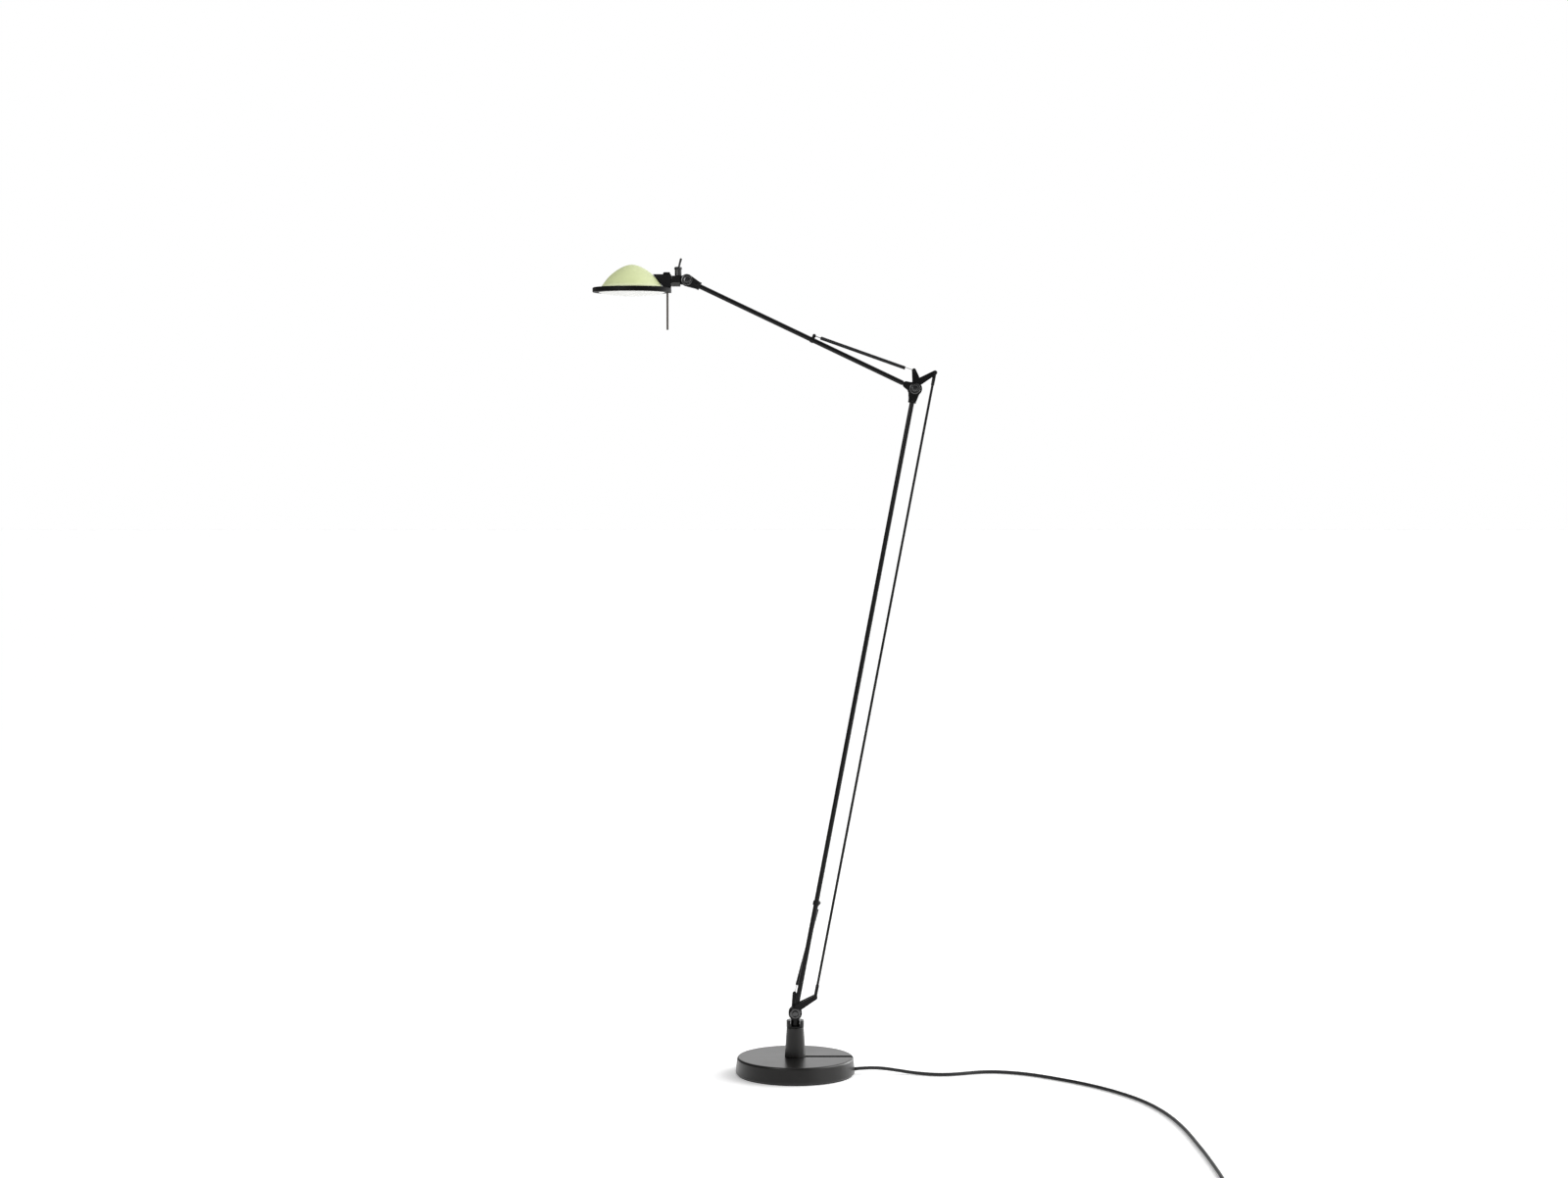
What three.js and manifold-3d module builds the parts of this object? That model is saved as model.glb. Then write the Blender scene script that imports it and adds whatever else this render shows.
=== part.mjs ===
// Adjustable arm floor lamp, in millimetres, +Z up, standing on the floor at z = 0.
// The base's centre is the origin. The arms fold in the plane y = 0, and the head points to -X.
import * as THREE from 'three';
import { mergeVertices } from 'three/addons/utils/BufferGeometryUtils.js';
import Module from 'manifold-3d';

const wasm = await Module();
wasm.setup();

// ---------------------------------------------------------------- driving dimensions
const GAP = 0.3;              // between pieces that touch
const FINE = 48;              // sides of large rounds
const ROUND = 24;             // sides of middle rounds
const SMALL = 12;             // sides of small rounds

// base
const PAD_T = 1.7;
const PAD_D = 222;
const DISC_T = 32;
const DISC_FOOT_D = 230;
const DISC_TOP_D = 224;
const DISC_EDGE = 2.5;        // height of the rounded edges
const SLOT_W = 14;            // cord slot across the top
const SLOT_FLOOR = 4;         // disc left under the slot
const POST_H = 57;
const POST_FOOT_D = 40.3;
const POST_TOP_D = 33;
const POST_BORE_D = 14;
const BUSH_L = 10;
const BUSH_WALL = 3;
const NUT_D = 34;
const NUT_T = 6;

// turret
const COLLAR_H = 13.7;
const COLLAR_WALL = 7;
const COLLAR_FLOOR = 3;
const STEM_D = 17.6;
const PIVOT_RISE = 27.7;      // base pivot above the post
const SPINDLE_D = 12;
const SPINDLE_L = 20;         // of the spindle below the collar
const WIRE_BORE_D = 6;
const CIRCLIP_T = 1.2;

// parallel arms, measured from the pivots that they turn on
const ROD_PIN_X = 38.5;
const ROD_PIN_Z = 30.5;
const SPRING_PIN_X = -1.5;
const SPRING_PIN_Z = 35;
const LOWER_ARM_L = 1219;
const LOWER_LEAN = 10.75;     // degrees from upright, towards +X
const UPPER_ARM_L = 480;
const UPPER_RISE = 25.4;      // degrees above level, towards -X
const TUBE_D = 9.3;
const TUBE_WALL = 0.8;
const ROD_D = 5;
const ROD_END_D = 6.6;
const ROD_END_L = 25;

// pivots: thickness of the tongue and of each cheek, and sizes of the discs
const LOWER_TONGUE_T = 9.6;
const UPPER_TONGUE_T = 7.2;
const HEAD_TONGUE_T = 7.2;
const TONGUE_D = 22;
const UPPER_FOOT_END_D = 13;
const YOKE_CHEEK_T = 3.5;
const YOKE_DISC_D = 26;
const BRACKET_CHEEK_T = 2.6;
const BRACKET_DISC_D = 28;
const FORK_CHEEK_T = 2.6;
const LOWER_HEAD_D = 24;
const UPPER_FORK_D = 23;
const HORN_TIP_D = 8.6;
const HORN_ROOT = [7, 12.3];
const HORN_ROOT_D = 14;
const SPRING_HORN_D = 7.6;
const BOLT_D = 6;
const BOLT_HEAD_D = 11.2;
const CUP_D = 21;
const CUP_T = 2.8;
const FIT = 0.3;              // round a pin, on the radius
const RIVET_D = 3;
const RIVET_HEAD_D = 7;

// springs
const SPRING_D = 7;
const SPRING_WIRE_D = 0.9;
const HOOK_D = 1.6;
const LOOP_R = 2.9;           // of an end loop, to the middle of its wire
const ANCHOR_S = 216;         // spring anchor, along the arm from its lower pivot
const LOWER_ANCHOR_X = 5.5;   // and beside the arm's centre line
const COIL_SHORT = 13;        // from an anchor to the coil's end
const HOOK_SHORT = 17;        // from a horn pin to the coil's end
const LOWER_AIM = -0.6;       // how far beside its horn pin each coil points at rest, which keeps
const UPPER_AIM = 1.6;        // the hook's shank near the middle of the coil over the whole range
const HOOK_INSIDE = 16;       // of a hook's shank that stays inside the coil
const CLIP_L = 8;
const CLIP_WALL = 1.6;

// head, measured from the head hinge
const HEAD_AXIS_DROP = 1.8;   // roll axis below the hinge
const HOUSING_LEFT = 29;
const HOUSING_RIGHT = 12.2;
const HOUSING_TOP = 8.2;
const HOUSING_SPLIT = -3.7;
const HOUSING_FLOOR = -11.8;
const HOUSING_W = 18;
const HOUSING_WALL = 3;
const ROLL_GAP = 0.6;
const BUSHING_X = -16.6;
const BUSHING_D = 13;
const BUSHING_LIP_D = 15.4;
const BUSHING_H = 17;
const LEVER_D = 4.6;
const LEVER_L = 22.5;
const LEVER_TILT = 15;        // degrees from upright
const DOME_D = 115;
const RING_SHELF = 17.5;      // of the ring outside the dome
const RING_H = 9.2;
const RING_TOP = -14.1;       // the ring's top face
const RING_WALL = 11.5;       // of the ring round the diffuser
const LIP_INSET = 3.5;        // of the ring's lip inside the dome's edge
const RING_LIP_T = 3.4;
const DOME_BAND = 4.7;        // upright band round the dome's foot
const DOME_H = 43.6;
const GLASS_T = 2.6;
const DIFFUSER_DROP = 6.9;
const DIFFUSER_T = 2.2;
const BLOCK_W = 20;
const BLOCK_TOP = 11;
const BLOCK_OVERHANG = 19;    // of the block's top over its foot, along the dome's slope
const CAP_T = 3.7;
const CAP_L = 14;
const SOCKET_D = 12;
const SOCKET_RISE = 7;        // its axis above the ring's top
const SOCKET_INSET = 13.5;    // its back inside the dome's edge
const SOCKET_FOOT_T = 1.6;
const SOCKET_L = 20;
const BULB_D = 10;
const BULB_L = 34;
const BOSS_W = 12;
const BOSS_L = 9.6;
const HANDLE_D = 4;
const HANDLE_L = 71;
const HANDLE_IN = 7.4;        // handle's centre inside the ring's edge

// cord
const CORD_D = 6.5;
const GRIP_L = 12;
const COIL_TURN_R = 36;
const COIL_X = 660;
const COIL_Y = -960;
const PLUG_L = 44;
const PLUG_W = 27;
const PLUG_H = 15;
const PLUG_RELIEF_L = 26;
const BLADE_L = 17;
const BLADE_W = 6.3;
const BLADE_T = 1.6;
const BLADE_SPACING = 12.7;

// ---------------------------------------------------------------- worked out from them
const DISC_BOTTOM = PAD_T + GAP;
const DISC_TOP = DISC_BOTTOM + DISC_T;
const SLOT_Z = DISC_BOTTOM + SLOT_FLOOR;
const POST_BOTTOM = DISC_TOP + GAP;
const POST_TOP = POST_BOTTOM + POST_H - GAP;
const COLLAR_BOTTOM = POST_TOP + GAP;
const BASE_PIVOT = new THREE.Vector3(0, 0, POST_TOP + PIVOT_RISE);
const LOWER_ANGLE = THREE.MathUtils.degToRad(LOWER_LEAN);
const UPPER_ANGLE = THREE.MathUtils.degToRad(UPPER_RISE - 90);
const ELBOW = onArm(BASE_PIVOT, LOWER_ANGLE, 0, LOWER_ARM_L);
const HEAD_PIVOT = onArm(ELBOW, UPPER_ANGLE, 0, UPPER_ARM_L);
const RING_D = DOME_D + 2 * RING_SHELF;
const RING_MOUTH_D = RING_D - 2 * RING_WALL;
const RING_LIP_D = DOME_D - 2 * LIP_INSET;
const RING_X = -(HOUSING_LEFT + ROLL_GAP + RING_D / 2);
const LOWER_TUBE_START = 17.5;
const UPPER_TUBE_START = 25;
const FORK_FERRULE = 28;      // from a fork's pivot to its ferrule's end
const SPIGOT_L = 22;          // of a foot's spigot inside its tube
const FERRULE_D = 16;
const SCREW_D = 3;
const LOWER_FOOT_T = Math.max(LOWER_TONGUE_T, TUBE_D);
const YOKE_INNER = LOWER_FOOT_T / 2 + GAP;
const YOKE_OUTER = YOKE_INNER + YOKE_CHEEK_T;
const BRACKET_INNER = UPPER_TONGUE_T / 2 + GAP;
const BRACKET_OUTER = BRACKET_INNER + BRACKET_CHEEK_T;
const LOWER_FORK_INNER = BRACKET_OUTER + 0.4;
const LOWER_FORK_OUTER = LOWER_FORK_INNER + FORK_CHEEK_T;
const UPPER_FORK_INNER = HEAD_TONGUE_T / 2 + 0.4;
const UPPER_FORK_OUTER = UPPER_FORK_INNER + FORK_CHEEK_T + 0.9;

const LOWER_SPRING_Y = YOKE_OUTER + SPRING_D / 2 + 0.8;
const UPPER_ANCHOR_X = TUBE_D / 2 + LOOP_R + HOOK_D / 2 + 0.45;
const BLOCK_FOOT = RING_X + DOME_D / 2 + 1.5;
const SOCKET_BACK = RING_X + DOME_D / 2 - SOCKET_INSET;
const CORD_EXIT_Z = SLOT_Z + CORD_D / 2 + 0.35;
const FLOOR_Z = CORD_D / 2 + 0.25;

// the cord's route from the slot's end over the floor to the coil, and from the coil to the plug
const CORD_ROUTE = [
  [112.3, 0, CORD_EXIT_Z], [128, 0, CORD_EXIT_Z + 1.4], [150, 0, CORD_EXIT_Z + 2.2],
  [172, -0.5, CORD_EXIT_Z + 1], [196, -2, FLOOR_Z + 4.1], [221, -6, FLOOR_Z + 1.1],
  ...[
    [246, -14], [270, -21.5], [294, -21], [318, -14], [342, -4], [366, 2.5], [389, 2.5], [411, -3],
    [434, -12.5], [457, -26.5], [480, -44.5], [504, -66], [529, -90], [556, -120], [582, -154],
    [606, -192], [628, -234], [646, -279], [660, -327], [671, -378], [679, -432], [685, -488],
    [689, -546], [692, -605], [694, -665], [695, -725], [696, -785], [696, -840], [696, -885],
    [696, COIL_Y + 37],
  ].map(([x, y]) => [x, y, FLOOR_Z]),
];
const TAIL_Y = COIL_Y - 39;
const TAIL_ROUTE = [
  [629, TAIL_Y, FLOOR_Z + 4.5], [615, TAIL_Y, FLOOR_Z + 2.4], [601, TAIL_Y, FLOOR_Z + 1.4],
  [584, TAIL_Y - 1, FLOOR_Z + 4.3], [566, TAIL_Y - 1, FLOOR_Z + 4.5],
];

// The point x beside and s along an arm that starts at pivot and leans by angle towards +X.
function onArm(pivot, angle, x, s) {
  return new THREE.Vector3(
    pivot.x + x * Math.cos(angle) + s * Math.sin(angle),
    pivot.y,
    pivot.z - x * Math.sin(angle) + s * Math.cos(angle),
  );
}

// ---------------------------------------------------------------- solids
// A closed solid from a geometry, with its faces outwards.
function solid(geometry) {
  geometry.deleteAttribute('normal');
  geometry.deleteAttribute('uv');
  const merged = mergeVertices(geometry, 1e-4);
  const points = merged.getAttribute('position').array;
  const corners = merged.getIndex().array;
  const faces = [];
  let volume = 0;
  for (let i = 0; i < corners.length; i += 3) {
    const [a, b, c] = [corners[i], corners[i + 1], corners[i + 2]];
    if (a === b || b === c || c === a) continue;
    faces.push([a, b, c]);
    const [p, q, r] = [a, b, c].map((k) => new THREE.Vector3().fromArray(points, 3 * k));
    volume += p.dot(q.cross(r));
  }
  const triVerts = new Uint32Array(faces.flatMap(([a, b, c]) => (volume < 0 ? [a, c, b] : [a, b, c])));
  return new wasm.Manifold(new wasm.Mesh({ numProp: 3, vertProperties: new Float32Array(points), triVerts }));
}

function block(x0, x1, y0, y1, z0, z1) {
  const box = new THREE.BoxGeometry(x1 - x0, y1 - y0, z1 - z0);
  return solid(box.translate((x0 + x1) / 2, (y0 + y1) / 2, (z0 + z1) / 2));
}

// A round solid about the line x, y, from a profile of [radius, z].
function turned(profile, sides = ROUND, x = 0, y = 0) {
  const outline = profile.map(([r, z]) => new THREE.Vector2(r, z));
  return solid(new THREE.LatheGeometry(outline, sides).rotateX(Math.PI / 2).translate(x, y, 0));
}

// A round bar along Z.
function bar(diameter, z0, z1, sides = ROUND, x = 0, y = 0) {
  return turned([[0, z0], [diameter / 2, z0], [diameter / 2, z1], [0, z1]], sides, x, y);
}

// A round bar along Y through x, z.
function pin(diameter, y0, y1, x = 0, z = 0, sides = ROUND) {
  const round = new THREE.CylinderGeometry(diameter / 2, diameter / 2, y1 - y0, sides);
  return solid(round.translate(x, (y0 + y1) / 2, z));
}

// A round bar along X through y, z.
function barX(diameter, x0, x1, y = 0, z = 0, sides = ROUND) {
  const round = new THREE.CylinderGeometry(diameter / 2, diameter / 2, x1 - x0, sides);
  return solid(round.rotateZ(Math.PI / 2).translate((x0 + x1) / 2, y, z));
}

// A flat piece from y0 to y1, with its outline in X and Z.
function plate(shape, y0, y1, curveSegments = 5) {
  const flat = new THREE.ExtrudeGeometry(shape, { depth: y1 - y0, bevelEnabled: false, curveSegments });
  return solid(flat.rotateX(Math.PI / 2).translate(0, y1, 0));
}

function outline(points) {
  return new THREE.Shape(points.map(([x, z]) => new THREE.Vector2(x, z)));
}

// The outline round two circles, centred on a and b: an arm that tapers from one to the other.
function armShape(a, diameterA, b, diameterB) {
  const along = Math.atan2(b[1] - a[1], b[0] - a[0]);
  const length = Math.hypot(b[0] - a[0], b[1] - a[1]);
  const turn = Math.acos((diameterA - diameterB) / 2 / length);
  const shape = new THREE.Shape();
  shape.absarc(a[0], a[1], diameterA / 2, along + turn, along - turn + 2 * Math.PI, false);
  shape.absarc(b[0], b[1], diameterB / 2, along - turn, along + turn, false);
  return shape;
}

// A round bar bent along points.
function swept(points, diameter, steps, sides = 8) {
  const path = new THREE.CatmullRomCurve3(points.map((p) => new THREE.Vector3(...p)), false, 'centripetal');
  const section = new THREE.Shape();
  section.absarc(0, 0, diameter / 2, 0, 2 * Math.PI, false);
  const options = { steps, extrudePath: path, bevelEnabled: false, curveSegments: sides / 2 };
  return solid(new THREE.ExtrudeGeometry(section, options));
}

// A wire ring round a pin that runs along Y.
function loop(x, y, z) {
  const ring = new THREE.TorusGeometry(LOOP_R, HOOK_D / 2, 6, 16);
  return solid(ring.rotateX(Math.PI / 2).translate(x, y, z));
}

// ---------------------------------------------------------------- scene
const group = new THREE.Group();
const PAINT = { color: 0x3a3a3b, roughness: 0.45, metalness: 0.2 };
const BLACK = { color: 0x121212, roughness: 0.4, metalness: 0.1 };
const GREY = { color: 0x6a6a6a, roughness: 0.5, metalness: 0.1 };
const STEEL = { color: 0xb4b2ae, roughness: 0.3, metalness: 0.9 };
const WIRE = { color: 0x4a4a4c, roughness: 0.4, metalness: 0.8 };
const GLASS = { color: 0xcfdba3, roughness: 0.5, metalness: 0 };
const WHITE = { color: 0xf2f2ee, roughness: 0.6, metalness: 0 };
const RUBBER = { color: 0x1b1b1b, roughness: 0.7, metalness: 0 };

// Puts a solid in the scene, turned about +Y by angle and moved to a place.
function add(name, body, finish, place = new THREE.Vector3(), angle = 0) {
  const made = body.getMesh();
  const geometry = new THREE.BufferGeometry();
  geometry.setAttribute('position', new THREE.BufferAttribute(made.vertProperties, 3));
  geometry.setIndex(new THREE.BufferAttribute(made.triVerts, 1));
  const mesh = new THREE.Mesh(geometry, new THREE.MeshStandardMaterial(finish));
  mesh.name = name;
  mesh.position.copy(place);
  mesh.rotation.y = angle;
  group.add(mesh);
}

// ---------------------------------------------------------------- base
function baseDisc() {
  const foot = DISC_FOOT_D / 2;
  const top = DISC_TOP_D / 2;
  const body = turned([
    [0, DISC_BOTTOM], [foot - DISC_EDGE, DISC_BOTTOM], [foot - 0.6, DISC_BOTTOM + 0.7],
    [foot, DISC_BOTTOM + DISC_EDGE], [top, DISC_TOP - DISC_EDGE], [top - 0.7, DISC_TOP - 0.8],
    [top - DISC_EDGE, DISC_TOP], [0, DISC_TOP],
  ], FINE);
  const slot = block(0, foot + 1, -SLOT_W / 2, SLOT_W / 2, SLOT_Z, DISC_TOP + 1);
  const bore = bar(POST_BORE_D + 10 + 2 * GAP, DISC_BOTTOM - 1, DISC_TOP + 1);
  const nutSeat = bar(NUT_D + 2, DISC_BOTTOM - 1, DISC_BOTTOM + NUT_T + GAP);
  return body.subtract(slot).subtract(bore).subtract(nutSeat);
}

function post() {
  const neck = POST_BORE_D + 10;
  const body = turned([
    [0, DISC_BOTTOM + GAP], [neck / 2, DISC_BOTTOM + GAP], [neck / 2, POST_BOTTOM],
    [POST_FOOT_D / 2, POST_BOTTOM], [POST_TOP_D / 2, POST_TOP], [0, POST_TOP],
  ]);
  const bore = bar(POST_BORE_D, 0, POST_TOP + 1);
  const bushSeat = bar(POST_BORE_D + 2 * BUSH_WALL, POST_TOP - BUSH_L - GAP, POST_TOP + 1);
  const cordWay = block(0, POST_FOOT_D, -CORD_D / 2 - 1, CORD_D / 2 + 1, 0, POST_BOTTOM - GAP);
  return body.subtract(bore).subtract(bushSeat).subtract(cordWay);
}

// A ring nut under the disc, with a notch for the cord.
function postNut() {
  const ring = bar(NUT_D, DISC_BOTTOM + GAP, DISC_BOTTOM + NUT_T, 6);
  return ring.subtract(bar(POST_BORE_D + 10 + 2 * GAP, 0, DISC_TOP));
}

function swivelBush() {
  const outer = bar(POST_BORE_D + 2 * (BUSH_WALL - GAP), POST_TOP - BUSH_L, POST_TOP - GAP);
  return outer.subtract(bar(SPINDLE_D + 2 * FIT, 0, POST_TOP + 1));
}

function cordGrip() {
  const x1 = DISC_TOP_D / 2 - 6;
  const side = SLOT_W / 2 - GAP;
  const body = block(x1 - GRIP_L, x1, -side, side, SLOT_Z + GAP, CORD_EXIT_Z + CORD_D);
  return body.subtract(barX(CORD_D + 2 * FIT, 0, x1 + 1, 0, CORD_EXIT_Z));
}

function cordInner() {
  const route = [
    [0, 0, SLOT_Z + 52], [0, 0, SLOT_Z + 40], [0, 0, SLOT_Z + 30], [3, 0, SLOT_Z + 18], [10, 0, SLOT_Z + 9],
    [20, 0, CORD_EXIT_Z + 1.5], [34, 0, CORD_EXIT_Z], [60, 0, CORD_EXIT_Z], [90, 0, CORD_EXIT_Z],
    [CORD_ROUTE[0][0] - 2 * GAP, 0, CORD_EXIT_Z],
  ];
  return swept(route, CORD_D, 26);
}

function cordCoil() {
  const inner = COIL_TURN_R - CORD_D;
  const outer = COIL_TURN_R + CORD_D + 0.5;
  const top = 2 * CORD_D + 1;
  return turned([
    [inner, 2], [inner + 2, GAP], [outer - 2, GAP], [outer, 2], [outer, top - 2], [outer - 2, top],
    [inner + 2, top], [inner, top - 2], [inner, 2],
  ], 32, COIL_X, COIL_Y);
}

// A strap closed round the coil's side that faces the base.
function coilTie() {
  const y0 = COIL_Y + COIL_TURN_R - CORD_D - 3;
  const y1 = COIL_Y + COIL_TURN_R + CORD_D + 3.5;
  const top = 2 * CORD_D + 1;
  const band = block(COIL_X - 4, COIL_X + 4, y0, y1, 0, top + 2);
  const inside = block(COIL_X - 5, COIL_X + 5, y0 + 1.6, y1 - 1.6, -1, top + GAP);
  return band.subtract(inside);
}

function plug() {
  const [x, y, z] = TAIL_ROUTE[TAIL_ROUTE.length - 1];
  const back = x - GAP;
  const front = back - PLUG_RELIEF_L - PLUG_L;
  const width = outline([
    [back - PLUG_RELIEF_L, -PLUG_W / 2 + 4], [back - PLUG_RELIEF_L, PLUG_W / 2 - 4],
    [back - PLUG_RELIEF_L - 12, PLUG_W / 2], [front, PLUG_W / 2], [front, -PLUG_W / 2],
    [back - PLUG_RELIEF_L - 12, -PLUG_W / 2],
  ]);
  const flat = new THREE.ExtrudeGeometry(width, { depth: PLUG_H, bevelEnabled: false });
  const body = solid(flat.translate(0, y, z - PLUG_H / 2));
  const relief = new THREE.CylinderGeometry(5.5, 4, PLUG_RELIEF_L + 2, SMALL);
  const taper = solid(relief.rotateZ(Math.PI / 2).translate(back - PLUG_RELIEF_L / 2 - 1, y, z));
  const blades = [-1, 1].map((side) => {
    const middle = y + side * BLADE_SPACING / 2;
    return block(front - BLADE_L, front + 2, middle - BLADE_T / 2, middle + BLADE_T / 2,
      z - BLADE_W / 2, z + BLADE_W / 2);
  });
  return body.add(taper).add(blades[0]).add(blades[1]);
}

function addBase() {
  add('base_disc', baseDisc(), PAINT);
  add('base_pad', bar(PAD_D, 0, PAD_T, FINE), RUBBER);
  add('post', post(), PAINT);
  add('post_nut', postNut(), STEEL);
  add('swivel_bush', swivelBush(), WHITE);
  add('cord_grip', cordGrip(), BLACK);
  add('cord_inner', cordInner(), RUBBER);
  add('cord_run', swept(CORD_ROUTE, CORD_D, 80), RUBBER);
  add('cord_coil', cordCoil(), RUBBER);
  add('coil_tie', coilTie(), BLACK);
  add('cord_tail', swept(TAIL_ROUTE, CORD_D, 8), RUBBER);
  add('plug', plug(), RUBBER);
}

// ---------------------------------------------------------------- pivots
// A bolt, a cup washer under its head and a cap nut, on a hinge whose outer cheeks end at +-outer.
function addPivot(name, place, outer) {
  const face = outer + GAP;
  const headIn = face + 1.2;
  const bolt = pin(BOLT_D, -headIn - 0.1, face).add(pin(BOLT_HEAD_D, -face - CUP_T + 0.4, -headIn));
  const recess = pin(BOLT_HEAD_D + 2 * FIT, -face - CUP_T - 1, -headIn + GAP);
  const cup = pin(CUP_D, -face - CUP_T, -face).subtract(recess);
  const hole = pin(BOLT_D + 2 * FIT, -face - CUP_T - 1, face);
  const nut = pin(CUP_D - 1, face, face + CUP_T).subtract(pin(BOLT_D + 2 * FIT, face - 1, face + 1.2));
  add(`${name}_bolt`, bolt, BLACK, place);
  add(`${name}_cup_washer`, cup.subtract(hole), BLACK, place);
  add(`${name}_cap_nut`, nut, STEEL, place);
}

// A rivet through two cheeks at +-outer, at x, z from its body's pivot.
function rivet(outer, x, z) {
  const face = outer + GAP;
  const shank = pin(RIVET_D, -face - 0.5, face + 0.5, x, z, SMALL);
  const front = pin(RIVET_HEAD_D, -face - 1.4, -face, x, z, SMALL);
  return shank.add(front).add(pin(RIVET_HEAD_D, face, face + 1.4, x, z, SMALL));
}

// One cheek with its disc and its horn for the rod, and a shallow field let into the outer face.
function cheek(discD, y0, y1) {
  const front = y0 < 0;
  const rod = [ROD_PIN_X, ROD_PIN_Z];
  const root = HORN_ROOT;
  const disc = pin(discD, y0, y1);
  const horn = plate(armShape(root, HORN_ROOT_D, rod, HORN_TIP_D), y0, y1, 4);
  const along = (share) => [0, 1].map((i) => root[i] + share * (rod[i] - root[i]));
  const depth = 0.8;
  const field = armShape(along(0.42), 6.4, along(0.8), 4.2);
  const pocket = front ? plate(field, y0 - 1, y0 + depth, 3) : plate(field, y1 - depth, y1 + 1, 3);
  const hole = pin(RIVET_D + 2 * FIT, y0 - 1, y1 + 1, ...rod, SMALL);
  return disc.add(horn).subtract(pocket).subtract(hole);
}

// An upright horn from a root of rootD at rootX, rootZ, with a hole for the spring's pin.
function springHorn(y0, y1, [rootX, rootZ, rootD], topRise) {
  const tip = [SPRING_PIN_X, SPRING_PIN_Z + topRise];
  const upright = plate(armShape([rootX, rootZ], rootD, tip, SPRING_HORN_D), y0, y1, 4);
  return upright.subtract(pin(RIVET_D + 2 * FIT, y0 - 1, y1 + 1, SPRING_PIN_X, SPRING_PIN_Z, SMALL));
}

// ---------------------------------------------------------------- turret
function collar() {
  const outer = POST_TOP_D / 2 + 0.35;
  const top = COLLAR_BOTTOM + COLLAR_H;
  const cup = bar(2 * outer, COLLAR_BOTTOM, top);
  const well = bar(2 * (outer - COLLAR_WALL), COLLAR_BOTTOM + COLLAR_FLOOR, top + 1);
  const side = STEM_D / 2 + GAP;
  const gaps = block(-side, side, -outer - 1, outer + 1, COLLAR_BOTTOM + COLLAR_FLOOR, top + 1);
  return cup.subtract(well).subtract(gaps).subtract(bar(SPINDLE_D + 2 * FIT, COLLAR_BOTTOM - 1, top + 1));
}

// Measured from the base pivot.
function turretYoke() {
  const seat = COLLAR_BOTTOM + COLLAR_FLOOR + GAP - BASE_PIVOT.z;
  const forkFloor = -TONGUE_D / 2 - 1;
  const stem = bar(STEM_D, seat, forkFloor);
  const neck = bar(STEM_D, forkFloor - 0.5, -4)
    .subtract(block(-20, 20, -YOKE_INNER, YOKE_INNER, forkFloor, 0));
  const spindleEnd = COLLAR_BOTTOM - SPINDLE_L - BASE_PIVOT.z;
  const spindle = bar(SPINDLE_D, spindleEnd, seat + 0.5);
  const groove = bar(SPINDLE_D + 2, spindleEnd + 3, spindleEnd + 3 + CIRCLIP_T + 2 * GAP)
    .subtract(bar(SPINDLE_D - 2, spindleEnd, seat));
  const front = cheek(YOKE_DISC_D, -YOKE_OUTER, -YOKE_INNER);
  const rear = cheek(YOKE_DISC_D, YOKE_INNER, YOKE_OUTER)
    .add(springHorn(YOKE_INNER, YOKE_OUTER, [-1, 12, 12], 1.6));
  const body = stem.add(neck).add(spindle).add(front).add(rear).subtract(groove);
  const wireWay = bar(WIRE_BORE_D, spindleEnd - 1, forkFloor + 1, SMALL);
  const pivotHole = pin(BOLT_D + 2 * FIT, -20, 20);
  return body.subtract(wireWay).subtract(pivotHole);
}

function circlip() {
  const z0 = COLLAR_BOTTOM - SPINDLE_L + 3 + GAP;
  const ring = bar(POST_BORE_D - 2 * GAP, z0, z0 + CIRCLIP_T)
    .subtract(bar(SPINDLE_D - 2 + 2 * FIT, z0 - 1, z0 + 3));
  return ring.subtract(block(0, 20, -3, 3, z0 - 1, z0 + 3));
}

// A headed stud behind the yoke, which the lower spring hooks on.
function springStud() {
  const end = LOWER_SPRING_Y + HOOK_D / 2 + 1;
  const near = LOWER_SPRING_Y - HOOK_D / 2 - 1;
  const shank = pin(RIVET_D, YOKE_INNER + 0.2, end + 0.5, SPRING_PIN_X, SPRING_PIN_Z, SMALL);
  const shoulder = pin(RIVET_HEAD_D, YOKE_OUTER + GAP, near, SPRING_PIN_X, SPRING_PIN_Z, SMALL);
  const head = pin(RIVET_HEAD_D, end, end + 1.4, SPRING_PIN_X, SPRING_PIN_Z, SMALL);
  return shank.add(shoulder).add(head);
}

function addTurret() {
  add('collar', collar(), BLACK);
  add('turret_yoke', turretYoke(), BLACK, BASE_PIVOT);
  add('circlip', circlip(), STEEL);
  addPivot('base_pivot', BASE_PIVOT, YOKE_OUTER);
  add('lower_rod_rivet', rivet(YOKE_OUTER, ROD_PIN_X, ROD_PIN_Z), BLACK, BASE_PIVOT);
  add('lower_spring_stud', springStud(), BLACK, BASE_PIVOT);
}

// ---------------------------------------------------------------- arms, along +Z from their lower pivot
// A tongue, a neck up to the tube and a spigot inside it.
function foot(tongueT, tubeStart, endD) {
  const half = tongueT / 2;
  const spigotD = TUBE_D - 2 * TUBE_WALL - 2 * GAP;
  const tongue = plate(armShape([0, 0], TONGUE_D, [0, tubeStart - endD / 2 - GAP], endD), -half, half, 5);
  const spigot = bar(spigotD, tubeStart - 6, tubeStart + SPIGOT_L, SMALL);
  return tongue.add(spigot).subtract(pin(BOLT_D + 2 * FIT, -20, 20));
}

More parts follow.
